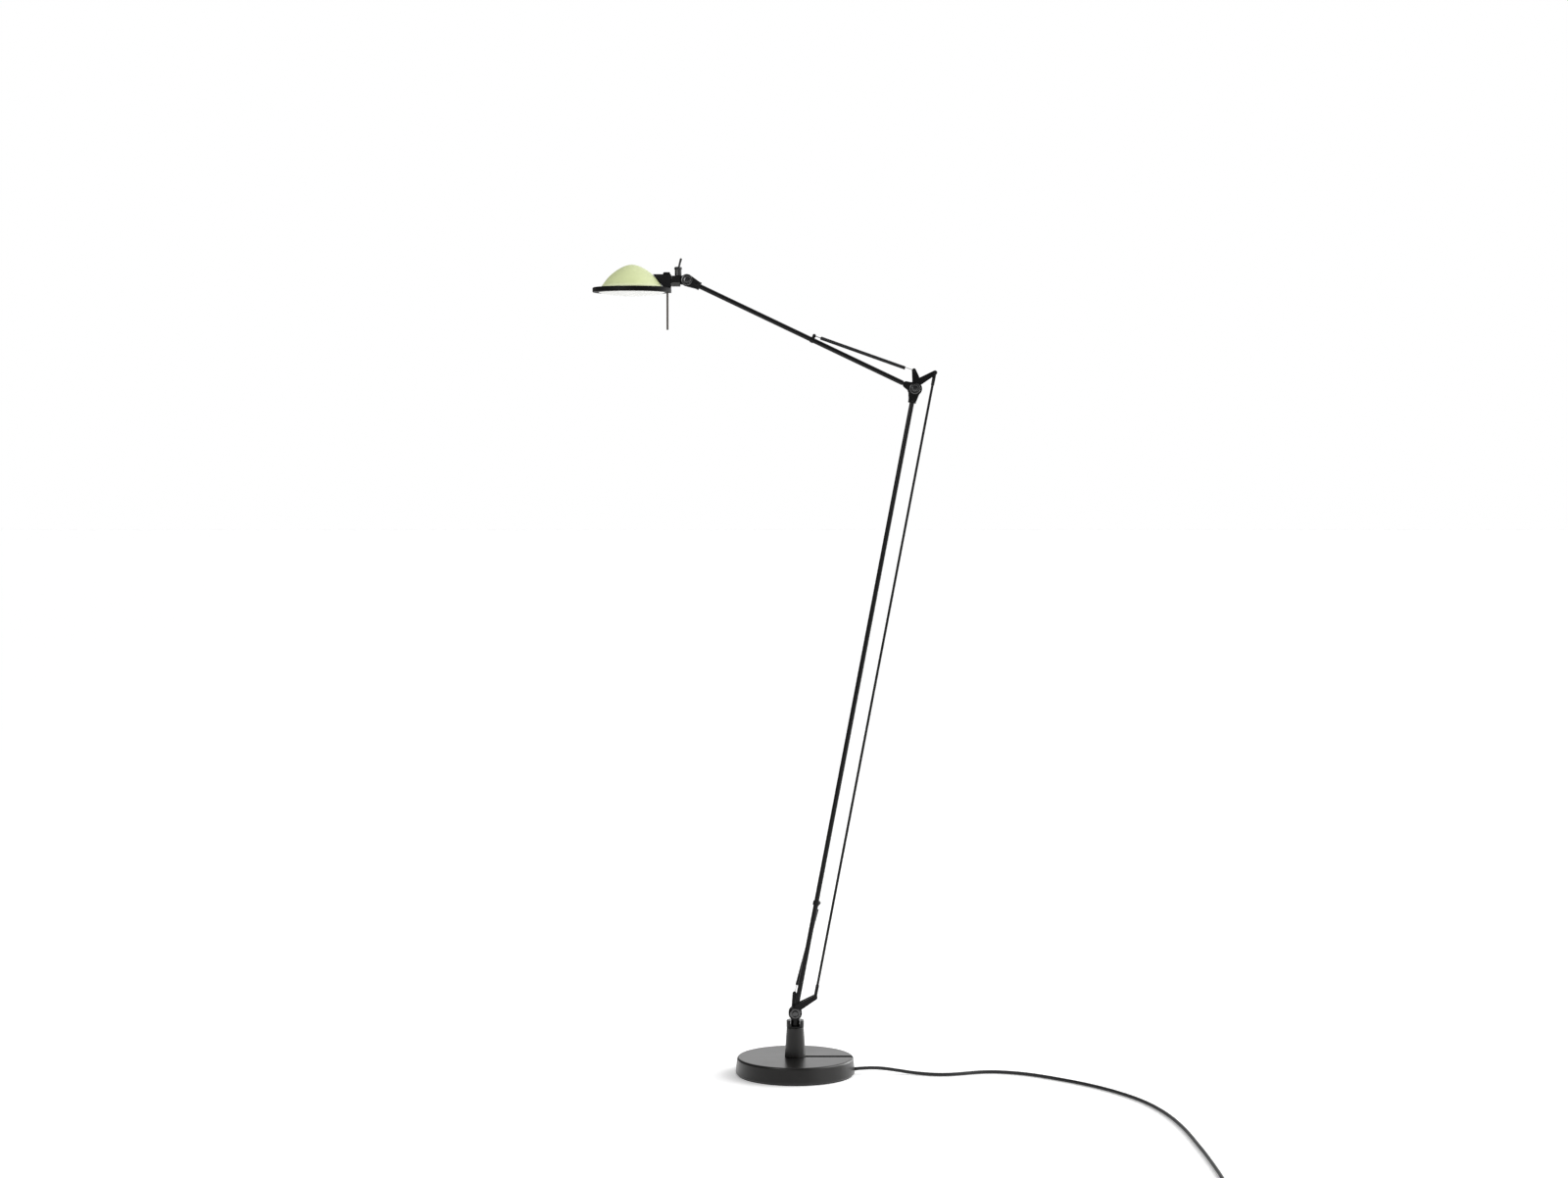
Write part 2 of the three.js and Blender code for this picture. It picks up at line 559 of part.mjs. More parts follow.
// A tube with a hole across its upper end for the screw.
function armTube(start, end, hole) {
  const tube = bar(TUBE_D, start, end, 20).subtract(bar(TUBE_D - 2 * TUBE_WALL, start - 1, end + 1, 20));
  return tube.subtract(pin(SCREW_D + 2 * FIT, -20, 20, 0, hole, SMALL));
}

// A ferrule on the tube's end with two cheeks past the pivot at s = length.
function fork(length, discD, inner, outer, hole) {
  const ferruleEnd = length - FORK_FERRULE;
  const webTop = length - discD / 2 - 4.5;
  const ferrule = turned([
    [0, ferruleEnd], [FERRULE_D / 2 - 1, ferruleEnd], [FERRULE_D / 2, ferruleEnd + 1.6],
    [FERRULE_D / 2, webTop], [0, webTop],
  ]);
  const sides = [[-outer, -inner], [inner, outer]].map(([y0, y1]) =>
    plate(armShape([0, length], discD, [0, webTop - 2], FERRULE_D), y0, y1, 5));
  const web = plate(armShape([0, webTop - 2.4], FERRULE_D, [0, webTop - 3.4], FERRULE_D), -outer, outer, 5);
  const throat = block(-discD, discD, -inner, inner, webTop, length + discD);
  const socket = bar(TUBE_D + 2 * GAP, ferruleEnd - 1, webTop - 3, 20);
  const across = pin(SCREW_D + 2 * FIT, -20, 20, 0, hole, SMALL);
  const pivotHole = pin(BOLT_D + 2 * FIT, -20, 20, 0, length);
  const body = ferrule.add(web).add(sides[0]).add(sides[1]);
  return body.subtract(throat).subtract(socket).subtract(across).subtract(pivotHole);
}

function screw(half, s, headD = 5) {
  const shank = pin(SCREW_D, -half, half, 0, s, SMALL);
  return shank.add(pin(headD, -half - 1.3, -half, 0, s, SMALL));
}

// A band round the tube with a headed stud behind it, which the lower spring's loop turns on.
function rearSpringClip() {
  const near = LOWER_SPRING_Y - HOOK_D / 2 - 1;
  const far = LOWER_SPRING_Y + HOOK_D / 2 + 1;
  const shoulder = pin(RIVET_HEAD_D - 0.6, 0, near, LOWER_ANCHOR_X, ANCHOR_S, SMALL);
  const stud = pin(RIVET_D, near - 1, far + 0.5, LOWER_ANCHOR_X, ANCHOR_S, SMALL);
  const head = pin(RIVET_HEAD_D - 0.6, far, far + 1.3, LOWER_ANCHOR_X, ANCHOR_S, SMALL);
  return clipBand().add(shoulder.subtract(clipBore())).add(stud).add(head);
}

// A band round the tube with two ears and a stud between them for the upper spring's loop.
function earedSpringClip() {
  const inner = HOOK_D / 2 + 1;
  const outer = inner + 1.4;
  const ear = armShape([UPPER_ANCHOR_X, ANCHOR_S], 5.4, [TUBE_D / 2, ANCHOR_S], CLIP_L);
  const ears = plate(ear, -outer, -inner, 3).add(plate(ear, inner, outer, 3));
  const stud = pin(RIVET_D, -inner - 0.5, inner + 0.5, UPPER_ANCHOR_X, ANCHOR_S, SMALL);
  const loopWay = block(0, 3 * TUBE_D, -inner, inner, ANCHOR_S - CLIP_L, ANCHOR_S + CLIP_L);
  return clipBand().subtract(loopWay).add(ears.subtract(clipBore())).add(stud);
}

function clipBand() {
  const outer = TUBE_D + 2 * (CLIP_WALL + GAP);
  return bar(outer, ANCHOR_S - CLIP_L / 2, ANCHOR_S + CLIP_L / 2, 20).subtract(clipBore());
}

function clipBore() {
  return bar(TUBE_D + 2 * GAP, ANCHOR_S - CLIP_L, ANCHOR_S + CLIP_L, 20);
}

function addLowerArm() {
  const headHole = LOWER_ARM_L - FORK_FERRULE + 5;
  const tubeEnd = LOWER_ARM_L - LOWER_HEAD_D / 2 - 4.5 - 3 - GAP;
  const put = (name, body, finish) => add(name, body, finish, BASE_PIVOT, LOWER_ANGLE);
  put('lower_foot', foot(LOWER_FOOT_T, LOWER_TUBE_START, TUBE_D), BLACK);
  put('lower_tube', armTube(LOWER_TUBE_START, tubeEnd, headHole), BLACK);
  put('lower_head', fork(LOWER_ARM_L, LOWER_HEAD_D, LOWER_FORK_INNER, LOWER_FORK_OUTER, headHole), BLACK);
  put('lower_head_screw', screw(Math.max(LOWER_FORK_OUTER, FERRULE_D / 2) + GAP, headHole), BLACK);
  put('lower_spring_clip', rearSpringClip(), BLACK);
}

// ---------------------------------------------------------------- rod, springs
function addRod() {
  const place = onArm(BASE_PIVOT, 0, ROD_PIN_X, ROD_PIN_Z);
  const eye = (s) => pin(2 * RIVET_D + 2.4, -ROD_END_D / 2 + 0.5, ROD_END_D / 2 - 0.5, 0, s, 20);
  const ends = bar(ROD_END_D, 3, ROD_END_L, 16)
    .add(bar(ROD_END_D, LOWER_ARM_L - ROD_END_L, LOWER_ARM_L - 3, 16));
  const body = bar(ROD_D, 3, LOWER_ARM_L - 3, 16).add(ends).add(eye(0)).add(eye(LOWER_ARM_L));
  const holes = [0, LOWER_ARM_L].map((s) => pin(RIVET_D + 2 * FIT, -20, 20, 0, s, SMALL));
  add('parallel_rod', body.subtract(holes[0]).subtract(holes[1]), BLACK, place, LOWER_ANGLE);
}

// A spring from its anchor on the arm to its horn pin: a coil that turns on the anchor, and a hook
// that turns on the pin, with its shank inside the coil.
function addSpring(name, horn, anchor, y, aim) {
  const along = new THREE.Vector3().subVectors(horn, anchor);
  const length = along.length();
  const angle = Math.atan2(along.x, along.z);
  const coilEnd = length - HOOK_SHORT;
  const coil = bar(SPRING_D, COIL_SHORT, coilEnd, 16, 0, y)
    .subtract(bar(SPRING_D - 2 * SPRING_WIRE_D, COIL_SHORT + 2, coilEnd + 1, 16, 0, y));
  const tail = bar(HOOK_D, LOOP_R, COIL_SHORT + 1, 8, 0, y);
  add(`${name}_coil`, coil.add(tail).add(loop(0, y, 0)), WIRE, anchor, angle + aim / length);
  const shank = bar(HOOK_D, LOOP_R, HOOK_SHORT + HOOK_INSIDE, 8, 0, y);
  add(`${name}_hook`, shank.add(loop(0, y, 0)), WIRE, horn, angle + Math.PI);
}

function addSprings() {
  addSpring('lower_spring', onArm(BASE_PIVOT, 0, SPRING_PIN_X, SPRING_PIN_Z),
    onArm(BASE_PIVOT, LOWER_ANGLE, LOWER_ANCHOR_X, ANCHOR_S), LOWER_SPRING_Y, LOWER_AIM);
  addSpring('upper_spring', onArm(ELBOW, 0, SPRING_PIN_X, SPRING_PIN_Z),
    onArm(ELBOW, UPPER_ANGLE, UPPER_ANCHOR_X, ANCHOR_S), 0, UPPER_AIM);
}

// ---------------------------------------------------------------- elbow
// Two cheeks joined by a web between their horns, clear of the tongue.
function elbowBracket() {
  const sides = [[-BRACKET_OUTER, -BRACKET_INNER], [BRACKET_INNER, BRACKET_OUTER]].map(([y0, y1]) =>
    cheek(BRACKET_DISC_D, y0, y1).add(springHorn(y0, y1, [3.5, 14, 16], 0)));
  const web = plate(armShape([13.5, 12.5], 4, [21, 18], 4), -BRACKET_INNER - 0.5, BRACKET_INNER + 0.5, 4);
  return sides[0].add(sides[1]).add(web).subtract(pin(BOLT_D + 2 * FIT, -20, 20));
}

function addElbow() {
  add('elbow_bracket', elbowBracket(), BLACK, ELBOW);
  addPivot('elbow', ELBOW, LOWER_FORK_OUTER);
  add('upper_rod_rivet', rivet(BRACKET_OUTER, ROD_PIN_X, ROD_PIN_Z), BLACK, ELBOW);
  add('upper_spring_rivet', rivet(BRACKET_OUTER, SPRING_PIN_X, SPRING_PIN_Z), BLACK, ELBOW);
}

function addUpperArm() {
  const headHole = UPPER_ARM_L - FORK_FERRULE + 5;
  const tubeEnd = UPPER_ARM_L - UPPER_FORK_D / 2 - 4.5 - 3 - GAP;
  const put = (name, body, finish) => add(name, body, finish, ELBOW, UPPER_ANGLE);
  put('upper_foot', foot(UPPER_TONGUE_T, UPPER_TUBE_START, UPPER_FOOT_END_D), BLACK);
  put('upper_tube', armTube(UPPER_TUBE_START, tubeEnd, headHole), BLACK);
  put('upper_fork', fork(UPPER_ARM_L, UPPER_FORK_D, UPPER_FORK_INNER, UPPER_FORK_OUTER, headHole), BLACK);
  put('upper_fork_screw', screw(Math.max(UPPER_FORK_OUTER, FERRULE_D / 2) + GAP, headHole), BLACK);
  put('upper_spring_clip', earedSpringClip(), BLACK);
}

// ---------------------------------------------------------------- head, measured from its hinge
const SWITCH_W = HOUSING_W - 2 * HOUSING_WALL - 2 * GAP;
const AXIS_Z = -HEAD_AXIS_DROP;
const ROLL_PIN_D = 9;
const ROLL_PIN_L = 13;

function housing() {
  const half = HOUSING_W / 2;
  const shell = block(-HOUSING_LEFT, -HOUSING_RIGHT, -half, half, HOUSING_SPLIT, HOUSING_TOP);
  const tongueHalf = HEAD_TONGUE_T / 2;
  const tongueShape = armShape([0, 0], TONGUE_D - 2, [-HOUSING_RIGHT - 2, 0], 2 * HOUSING_TOP - 1);
  const right = block(-HOUSING_RIGHT - 0.5, TONGUE_D, -half, half, -TONGUE_D, TONGUE_D);
  const tongue = plate(tongueShape, -tongueHalf, tongueHalf, 5).intersect(right);
  const room = block(-HOUSING_LEFT + HOUSING_WALL, -HOUSING_RIGHT - HOUSING_WALL, -half + HOUSING_WALL,
    half - HOUSING_WALL, HOUSING_SPLIT - 1, HOUSING_TOP - HOUSING_WALL);
  const bushingHole = bar(7.6, 0, HOUSING_TOP + 1, SMALL, BUSHING_X);
  const spindle = barX(ROLL_PIN_D, -HOUSING_LEFT - ROLL_PIN_L, -HOUSING_LEFT + 0.5, 0, AXIS_Z, 20)
    .subtract(block(-60, 0, -20, 20, -30, HOUSING_SPLIT - 6));
  const body = shell.add(tongue).subtract(room).subtract(bushingHole);
  const pinR = ROLL_PIN_D / 2;
  const flange = block(-HOUSING_LEFT, -HOUSING_LEFT + 2, -pinR, pinR, AXIS_Z - pinR, AXIS_Z + 1);
  return body.add(spindle).add(flange).subtract(pin(BOLT_D + 2 * FIT, -20, 20));
}

function housingCover() {
  const half = HOUSING_W / 2;
  const left = -HOUSING_LEFT;
  const right = -HOUSING_RIGHT - GAP;
  const shell = block(left, right, -half, half, HOUSING_FLOOR, HOUSING_SPLIT - GAP);
  const room = block(left + 2 + GAP, right - HOUSING_WALL, -half + HOUSING_WALL, half - HOUSING_WALL,
    HOUSING_FLOOR + HOUSING_WALL, 0);
  const flangeWay = block(left - 1, left + 2 + GAP, -ROLL_PIN_D / 2 - GAP, ROLL_PIN_D / 2 + GAP,
    AXIS_Z - ROLL_PIN_D / 2 - GAP, 0);
  const tongueWay = block(right - 1.5, 0, -HEAD_TONGUE_T / 2 - GAP, HEAD_TONGUE_T / 2 + GAP, -TONGUE_D, 0);
  return shell.subtract(room).subtract(flangeWay).subtract(tongueWay);
}

function switchBody() {
  const x0 = -HOUSING_LEFT + HOUSING_WALL + 0.6;
  const x1 = -HOUSING_RIGHT - HOUSING_WALL - 0.8;
  const half = SWITCH_W / 2;
  return block(x0, x1, -half, half, HOUSING_FLOOR + HOUSING_WALL + GAP, HOUSING_TOP - HOUSING_WALL - GAP);
}

function switchBushing() {
  const z0 = HOUSING_TOP + GAP;
  const top = HOUSING_TOP + BUSHING_H;
  const r = BUSHING_D / 2;
  const lip = BUSHING_LIP_D / 2;
  const stemR = 3.5;
  const body = turned([
    [0, HOUSING_TOP - HOUSING_WALL], [stemR, HOUSING_TOP - HOUSING_WALL], [stemR, z0], [r, z0],
    [r, top - 5.2], [lip, top - 4], [lip, top - 3.2], [lip - 2, top], [0, top],
  ], 24, BUSHING_X);
  const mouthLine = [[0, top - 9], [3.6, top - 9], [3.6, top - 3.4], [5.6, top + 1], [0, top + 1]];
  const mouth = turned(mouthLine, 20, BUSHING_X);
  return body.subtract(mouth);
}

// Measured from its own pivot in the bushing, upright.
function switchLever() {
  const ball = solid(new THREE.SphereGeometry(3.1, 12, 8));
  const r = LEVER_D / 2;
  const stalk = [[0, 0], [r - 0.4, 0], [r, LEVER_L - 1.6], [r - 0.9, LEVER_L - 0.4], [0, LEVER_L]];
  return ball.add(turned(stalk, 14));
}

function ring() {
  const top = RING_TOP;
  const bottom = top - RING_H;
  const r = RING_D / 2;
  const mouth = RING_MOUTH_D / 2;
  const step = top - RING_LIP_T;
  const body = turned([
    [mouth, bottom], [r - 2, bottom], [r - 0.5, bottom + 0.6], [r, bottom + 2], [r, top - 2],
    [r - 0.6, top - 0.5], [r - 2, top], [RING_LIP_D / 2, top], [RING_LIP_D / 2, step],
    [mouth, step], [mouth, bottom],
  ], FINE, RING_X);
  const edge = RING_X + r;
  const half = BOSS_W / 2 + GAP;
  const notch = block(edge - BOSS_L - GAP, edge + 1, -half, half, bottom - 1, step - GAP);
  return body.subtract(notch);
}

function dome() {
  const r = DOME_D / 2;
  const base = RING_TOP + GAP;
  const shoulder = [[r, 0], [r - 2, DOME_BAND], [r - 6.5, 10.5], [r - 14.5, 20], [r - 24, 28.8],
    [r - 34, 35.6], [r - 46, 41.4], [0, DOME_H]];
  const inside = shoulder.map(([x, z]) => [Math.max(x - GLASS_T, 0), z === 0 ? 0 : z - 0.75 * GLASS_T]);
  inside[inside.length - 1][1] = DOME_H - GLASS_T;
  const up = (p) => [p[0], base + p[1]];
  return turned([...shoulder.map(up), ...inside.reverse().map(up), [r, base]], FINE, RING_X);
}

function diffuser() {
  const rim = RING_MOUTH_D / 2 - 0.5;
  const top = RING_TOP - RING_LIP_T - GAP;
  const bottom = RING_TOP - RING_H;
  const curve = [0, 0.35, 0.65, 0.88].map((t) => [rim * t, bottom - DIFFUSER_DROP * (1 - t * t)]);
  const inside = curve.map(([x, z]) => [x * 0.97, z + DIFFUSER_T]);
  return turned([
    ...curve, [rim, bottom + 0.6], [rim, top], [rim - 2, top], [rim - 2.2, bottom + 1.8], ...inside.reverse(),
  ], FINE, RING_X);
}

function headBlock() {
  const half = BLOCK_W / 2;
  const right = -HOUSING_LEFT - ROLL_GAP;
  const base = RING_TOP + GAP;
  const side = outline([
    [right, base], [right, BLOCK_TOP - 1.5], [right - 1.5, BLOCK_TOP],
    [BLOCK_FOOT - BLOCK_OVERHANG, BLOCK_TOP], [BLOCK_FOOT, base + 2.4], [BLOCK_FOOT, base],
  ]);
  const bore = barX(ROLL_PIN_D + 2 * FIT, right - ROLL_PIN_L - 1, right + 1, 0, AXIS_Z, 20);
  const handleHole = bar(HANDLE_D + 2 * FIT, base - 1, base + 4, SMALL, right - HANDLE_IN);
  return plate(side, -half, half).subtract(bore).subtract(handleHole);
}

function blockCap() {
  const right = -HOUSING_LEFT - ROLL_GAP - 1.8;
  const z = BLOCK_TOP + GAP;
  const side = outline([
    [right, z], [right - CAP_L, z], [right - CAP_L + 1.4, z + CAP_T], [right - 1, z + CAP_T],
  ]);
  return plate(side, -BLOCK_W / 2 + 2, BLOCK_W / 2 - 2);
}

// A ceramic socket on a strip that runs out under the ring's lip.
function lampSocket() {
  const z = RING_TOP + SOCKET_RISE;
  const x1 = SOCKET_BACK;
  const x0 = x1 - SOCKET_L;
  const half = SOCKET_D / 2;
  const stripTop = RING_TOP - RING_LIP_T - GAP;
  const stripBottom = stripTop - SOCKET_FOOT_T;
  const body = barX(SOCKET_D, x0, x1, 0, z, 20);
  const stand = block(x0, x1, -half + 1, half - 1, stripBottom, z - 2);
  const strip = block(x0, RING_X + RING_MOUTH_D / 2 - 4, -half, half, stripBottom, stripTop);
  return body.add(stand).add(strip).subtract(barX(BULB_D - 4 + 2 * FIT, x0 - 1, x0 + 8, 0, z, SMALL));
}

function bulb() {
  const x = SOCKET_BACK - SOCKET_L;
  const z = RING_TOP + SOCKET_RISE;
  const neck = barX(BULB_D - 4, x - 1, x + 8 - GAP, 0, z, SMALL);
  const r = BULB_D / 2;
  const profile = [[0, 0], [r - 1.6, 0.6], [r, 4], [r, BULB_L - 5], [r - 2.4, BULB_L - 1], [0, BULB_L]];
  const glass = new THREE.LatheGeometry(profile.map(([radius, s]) => new THREE.Vector2(radius, s)), 20);
  return neck.add(solid(glass.rotateZ(Math.PI / 2).translate(x - GAP, 0, z)));
}

function handleBoss() {
  const edge = RING_X + RING_D / 2;
  const top = RING_TOP - RING_LIP_T - 2 * GAP;
  const bottom = RING_TOP - RING_H - 0.9;
  const body = block(edge - BOSS_L, edge, -BOSS_W / 2, BOSS_W / 2, bottom, top);
  return body.subtract(bar(HANDLE_D + 2 * FIT, bottom - 1, top - 1.5, SMALL, edge - HANDLE_IN));
}

function handle() {
  const x = RING_X + RING_D / 2 - HANDLE_IN;
  const r = HANDLE_D / 2;
  const top = RING_TOP - RING_H;
  const bottom = top - HANDLE_L;
  return turned([
    [0, bottom], [r - 0.6, bottom], [r, bottom + 0.6], [r, top + 2.6], [0, top + 2.6],
  ], SMALL, x);
}

function addHead() {
  const put = (name, body, finish) => add(name, body, finish, HEAD_PIVOT);
  put('switch_housing', housing(), BLACK);
  put('housing_cover', housingCover(), GREY);
  put('switch_body', switchBody(), RUBBER);
  put('switch_bushing', switchBushing(), BLACK);
  addPivot('head', HEAD_PIVOT, UPPER_FORK_OUTER);
  const leverPivot = onArm(HEAD_PIVOT, 0, BUSHING_X, HOUSING_TOP + BUSHING_H - 5.4);
  add('switch_lever', switchLever(), BLACK, leverPivot, THREE.MathUtils.degToRad(LEVER_TILT));
  put('head_block', headBlock(), BLACK);
  put('block_cap', blockCap(), BLACK);
  put('head_ring', ring(), BLACK);
  put('glass_dome', dome(), GLASS);
  put('diffuser', diffuser(), WHITE);
  put('lamp_socket', lampSocket(), WHITE);
  put('bulb', bulb(), WHITE);
  put('handle_boss', handleBoss(), GREY);
  put('handle', handle(), STEEL);
}

addBase();
addTurret();
addLowerArm();
addRod();
addSprings();
addElbow();
addUpperArm();
addHead();

export default group;
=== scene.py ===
# %% [markdown]
# # An adjustable arm floor lamp
# The lamp stands on a heavy disc. A turret swivels on its post and carries an arm with a thin rod beside it,
# an elbow, a shorter arm, and a head with a glass dome. A spring balances each arm. The CAD gives every piece
# its place and its body. Here each visible piece is made again with finer edges, and given a finish.

# %% load the frame
import math
import bmesh
import bpy
from mathutils import Matrix, Vector


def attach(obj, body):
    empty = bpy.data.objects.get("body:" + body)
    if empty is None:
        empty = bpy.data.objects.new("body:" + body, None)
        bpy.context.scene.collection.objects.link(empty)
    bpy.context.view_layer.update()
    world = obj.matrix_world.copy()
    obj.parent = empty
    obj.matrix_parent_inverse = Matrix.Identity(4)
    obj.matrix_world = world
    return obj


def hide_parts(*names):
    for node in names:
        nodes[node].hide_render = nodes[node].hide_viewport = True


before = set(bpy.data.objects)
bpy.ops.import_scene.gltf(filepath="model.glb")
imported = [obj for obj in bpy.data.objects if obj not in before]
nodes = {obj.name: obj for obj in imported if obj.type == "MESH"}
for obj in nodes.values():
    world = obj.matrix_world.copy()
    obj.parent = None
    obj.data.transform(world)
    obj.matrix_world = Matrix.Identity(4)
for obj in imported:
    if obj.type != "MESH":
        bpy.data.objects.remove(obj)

scene = bpy.context.scene
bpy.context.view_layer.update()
MM = 0.001

# %% [markdown]
# ## Camera
# A long lens from nearly six metres away, about three quarters of the way up the lamp and tipped down
# slightly, so that upright edges stay nearly upright. Everything else is judged through this camera, so it
# comes first.

# %% camera
TIPPED_DOWN = 0.045828        # radians below level
lens = bpy.data.cameras.new("camera")
lens.lens = 68.76
lens.sensor_width = 36
camera = bpy.data.objects.new("camera", lens)
camera.location = (-0.02157, -5.71628, 1.19657)
camera.rotation_euler = (math.pi / 2 - TIPPED_DOWN, 0, 0)
scene.collection.objects.link(camera)
scene.camera = camera
print("camera at", tuple(round(v, 3) for v in camera.location))

# %% [markdown]
# ## Places of the joints
# Every piece is drawn in millimetres round the pivot that it belongs to, and then put in its place. These
# are the pivots, with the lean of both arms, worked out along the arms as the real linkage is set out.

# %% pivots
def along_arm(pivot, lean, beside, up):
    """The point beside and up an arm that starts at pivot and leans by that angle towards +X."""
    x = pivot[0] + beside * math.cos(lean) + up * math.sin(lean)
    z = pivot[2] - beside * math.sin(lean) + up * math.cos(lean)
    return (x, pivot[1], z)


LOWER_L, UPPER_L = 1219, 480
LOWER_LEAN = math.radians(10.75)
UPPER_LEAN = math.radians(25.4 - 90)
DISC_TOP = 34
POST_TOP = 91
BASE_PIVOT = (0, 0, 118.7)
ELBOW = along_arm(BASE_PIVOT, LOWER_LEAN, 0, LOWER_L)
HEAD_PIVOT = along_arm(ELBOW, UPPER_LEAN, 0, UPPER_L)
ROD_PIN = (38.5, 30.5)
SPRING_PIN = (-1.5, 35)
print("elbow", [round(v, 1) for v in ELBOW], "head", [round(v, 1) for v in HEAD_PIVOT])


def place(point=(0, 0, 0), lean=0.0):
    """Turns millimetres round a pivot into metres in the frame, leaning about +Y."""
    return Matrix.Translation(Vector(point) * MM) @ Matrix.Rotation(lean, 4, "Y") @ Matrix.Scale(MM, 4)


# %% [markdown]
# ## Tools for making solids
# Turned pieces are an outline spun round an axis. Corners of an outline are eased first, because no real
# edge is perfectly sharp and a small round catches the light. Pieces that cross are joined or cut with
# Boolean modifiers, whose result is kept as a plain mesh.

# %% outlines
def eased(points, radius, steps=4, closed=False):
    """The same outline with its corners rounded. radius is one number, or one for each point."""
    points = [Vector(p) for p in points]
    count = len(points)
    radii = [radius] * count if isinstance(radius, (int, float)) else list(radius)
    made = []
    for i, corner in enumerate(points):
        if radii[i] <= 0 or (not closed and i in (0, count - 1)):
            made.append(corner)
            continue
        before = points[i - 1] - corner
        after = points[(i + 1) % count] - corner
        reach = min(radii[i], 0.48 * before.length, 0.48 * after.length)
        start = corner + before.normalized() * reach
        end = corner + after.normalized() * reach
        for step in range(steps + 1):
            t = step / steps
            made.append((1 - t) ** 2 * start + 2 * t * (1 - t) * corner + t ** 2 * end)
    return [tuple(p) for p in made]


def to_mesh(bm):
    """Closes and cleans a bmesh, points its faces outwards and returns it as a mesh."""
    bmesh.ops.remove_doubles(bm, verts=bm.verts, dist=1e-4)
    bmesh.ops.dissolve_degenerate(bm, dist=1e-5, edges=bm.edges)
    bmesh.ops.recalc_face_normals(bm, faces=bm.faces)
    mesh = bpy.data.meshes.new("solid")
    bm.to_mesh(mesh)
    bm.free()
    return mesh


AXES = {
    "X": Matrix.Rotation(math.pi / 2, 4, "Y"),
    "Y": Matrix.Rotation(-math.pi / 2, 4, "X"),
    "Z": Matrix.Identity(4),
}


def turned(outline, sides=64, at=(0, 0, 0), axis="Z", closed=False):
    """A round solid: the outline of (radius, height) spun all the way round an axis through at."""
    bm = bmesh.new()
    rim = [bm.verts.new((r, 0, h)) for r, h in outline]
    pairs = list(zip(rim, rim[1:])) + ([(rim[-1], rim[0])] if closed else [])
    edges = [bm.edges.new(pair) for pair in pairs]
    bmesh.ops.spin(bm, geom=rim + edges, cent=(0, 0, 0), axis=(0, 0, 1), angle=2 * math.pi, steps=sides,
                   use_merge=True)
    bmesh.ops.transform(bm, matrix=Matrix.Translation(at) @ AXES[axis], verts=bm.verts)
    return to_mesh(bm)


def bar(diameter, start, end, at=(0, 0, 0), axis="Z", edge=0.3, sides=48):
    """A plain round bar with eased ends."""
    r = diameter / 2
    outline = [(0, start), (r, start), (r, end), (0, end)]
    return turned(eased(outline, edge) if edge else outline, sides, at, axis)


def pipe(outer, inner, start, end, edge):
    """A round tube with eased ends."""
    outline = [(inner / 2, start), (outer / 2, start), (outer / 2, end), (inner / 2, end)]
    return turned(eased(outline, edge, closed=True), 48, closed=True)


def pin_hole(x, z, y0=-20, y1=20):
    """What cuts the hole for a rivet or a screw, along Y."""
    return bar(3.6, y0, y1, (x, 0, z), "Y", 0, 24)


def bolt_hole(z=0):
    """What cuts the hole for a pivot's bolt, along Y."""
    return bar(6.6, -20, 20, (0, 0, z), "Y", 0, 32)


sample = turned(eased([(0, 0), (10, 0), (10, 5), (0, 5)], 1))
print("a turned sample has", len(sample.polygons), "faces")
bpy.data.meshes.remove(sample)

# %% flat pieces
def stack(y0, y1, edge):
    """How far in from its outline a flat piece is, at each step through its thickness."""
    if not edge:
        return [(y0, 0), (y1, 0)]
    turn = [math.radians(a) for a in (0, 30, 60, 90)]
    near = [(y0 + edge * (1 - math.cos(a)), edge * (1 - math.sin(a))) for a in turn]
    return near + [(y0 + y1 - y, inset) for y, inset in reversed(near)]


def link(a, width_a, b, width_b, y0, y1, edge=0.5, sides=40):
    """A flat arm round two centres: circles stacked through its thickness, with a tight skin over them."""
    bm = bmesh.new()
    for (x, z), width in ((a, width_a), (b, width_b)):
        for y, inset in stack(y0, y1, edge):
            where = Matrix.Translation((x, y, z)) @ Matrix.Rotation(math.pi / 2, 4, "X")
            bmesh.ops.create_circle(bm, cap_ends=False, segments=sides, radius=width / 2 - inset,
                                    matrix=where)
    hull = bmesh.ops.convex_hull(bm, input=bm.verts)
    spare = {item for item in hull["geom_interior"] + hull["geom_unused"]
             if isinstance(item, bmesh.types.BMVert)}
    bmesh.ops.delete(bm, geom=list(spare), context="VERTS")
    loose = [e for e in bm.edges if not e.link_faces]
    bmesh.ops.delete(bm, geom=loose, context="EDGES")
    bmesh.ops.dissolve_limit(bm, angle_limit=math.radians(0.5), verts=bm.verts, edges=bm.edges)
    return to_mesh(bm)


def round_edges(bm, edges, width):
    """Rounds some edges of a bmesh in three steps."""
    bmesh.ops.bevel(bm, geom=edges, offset=width, segments=3, profile=0.5, affect="EDGES", material=-1)


def box(x0, x1, y0, y1, z0, z1, edge=0.0):
    """A block, with every edge rounded if edge is given."""
    bm = bmesh.new()
    middle = Vector(((x0 + x1) / 2, (y0 + y1) / 2, (z0 + z1) / 2))
    size = Matrix.Diagonal((x1 - x0, y1 - y0, z1 - z0, 1))
    bmesh.ops.create_cube(bm, size=1, matrix=Matrix.Translation(middle) @ size)
    if edge:
        round_edges(bm, list(bm.edges), edge)
    return to_mesh(bm)


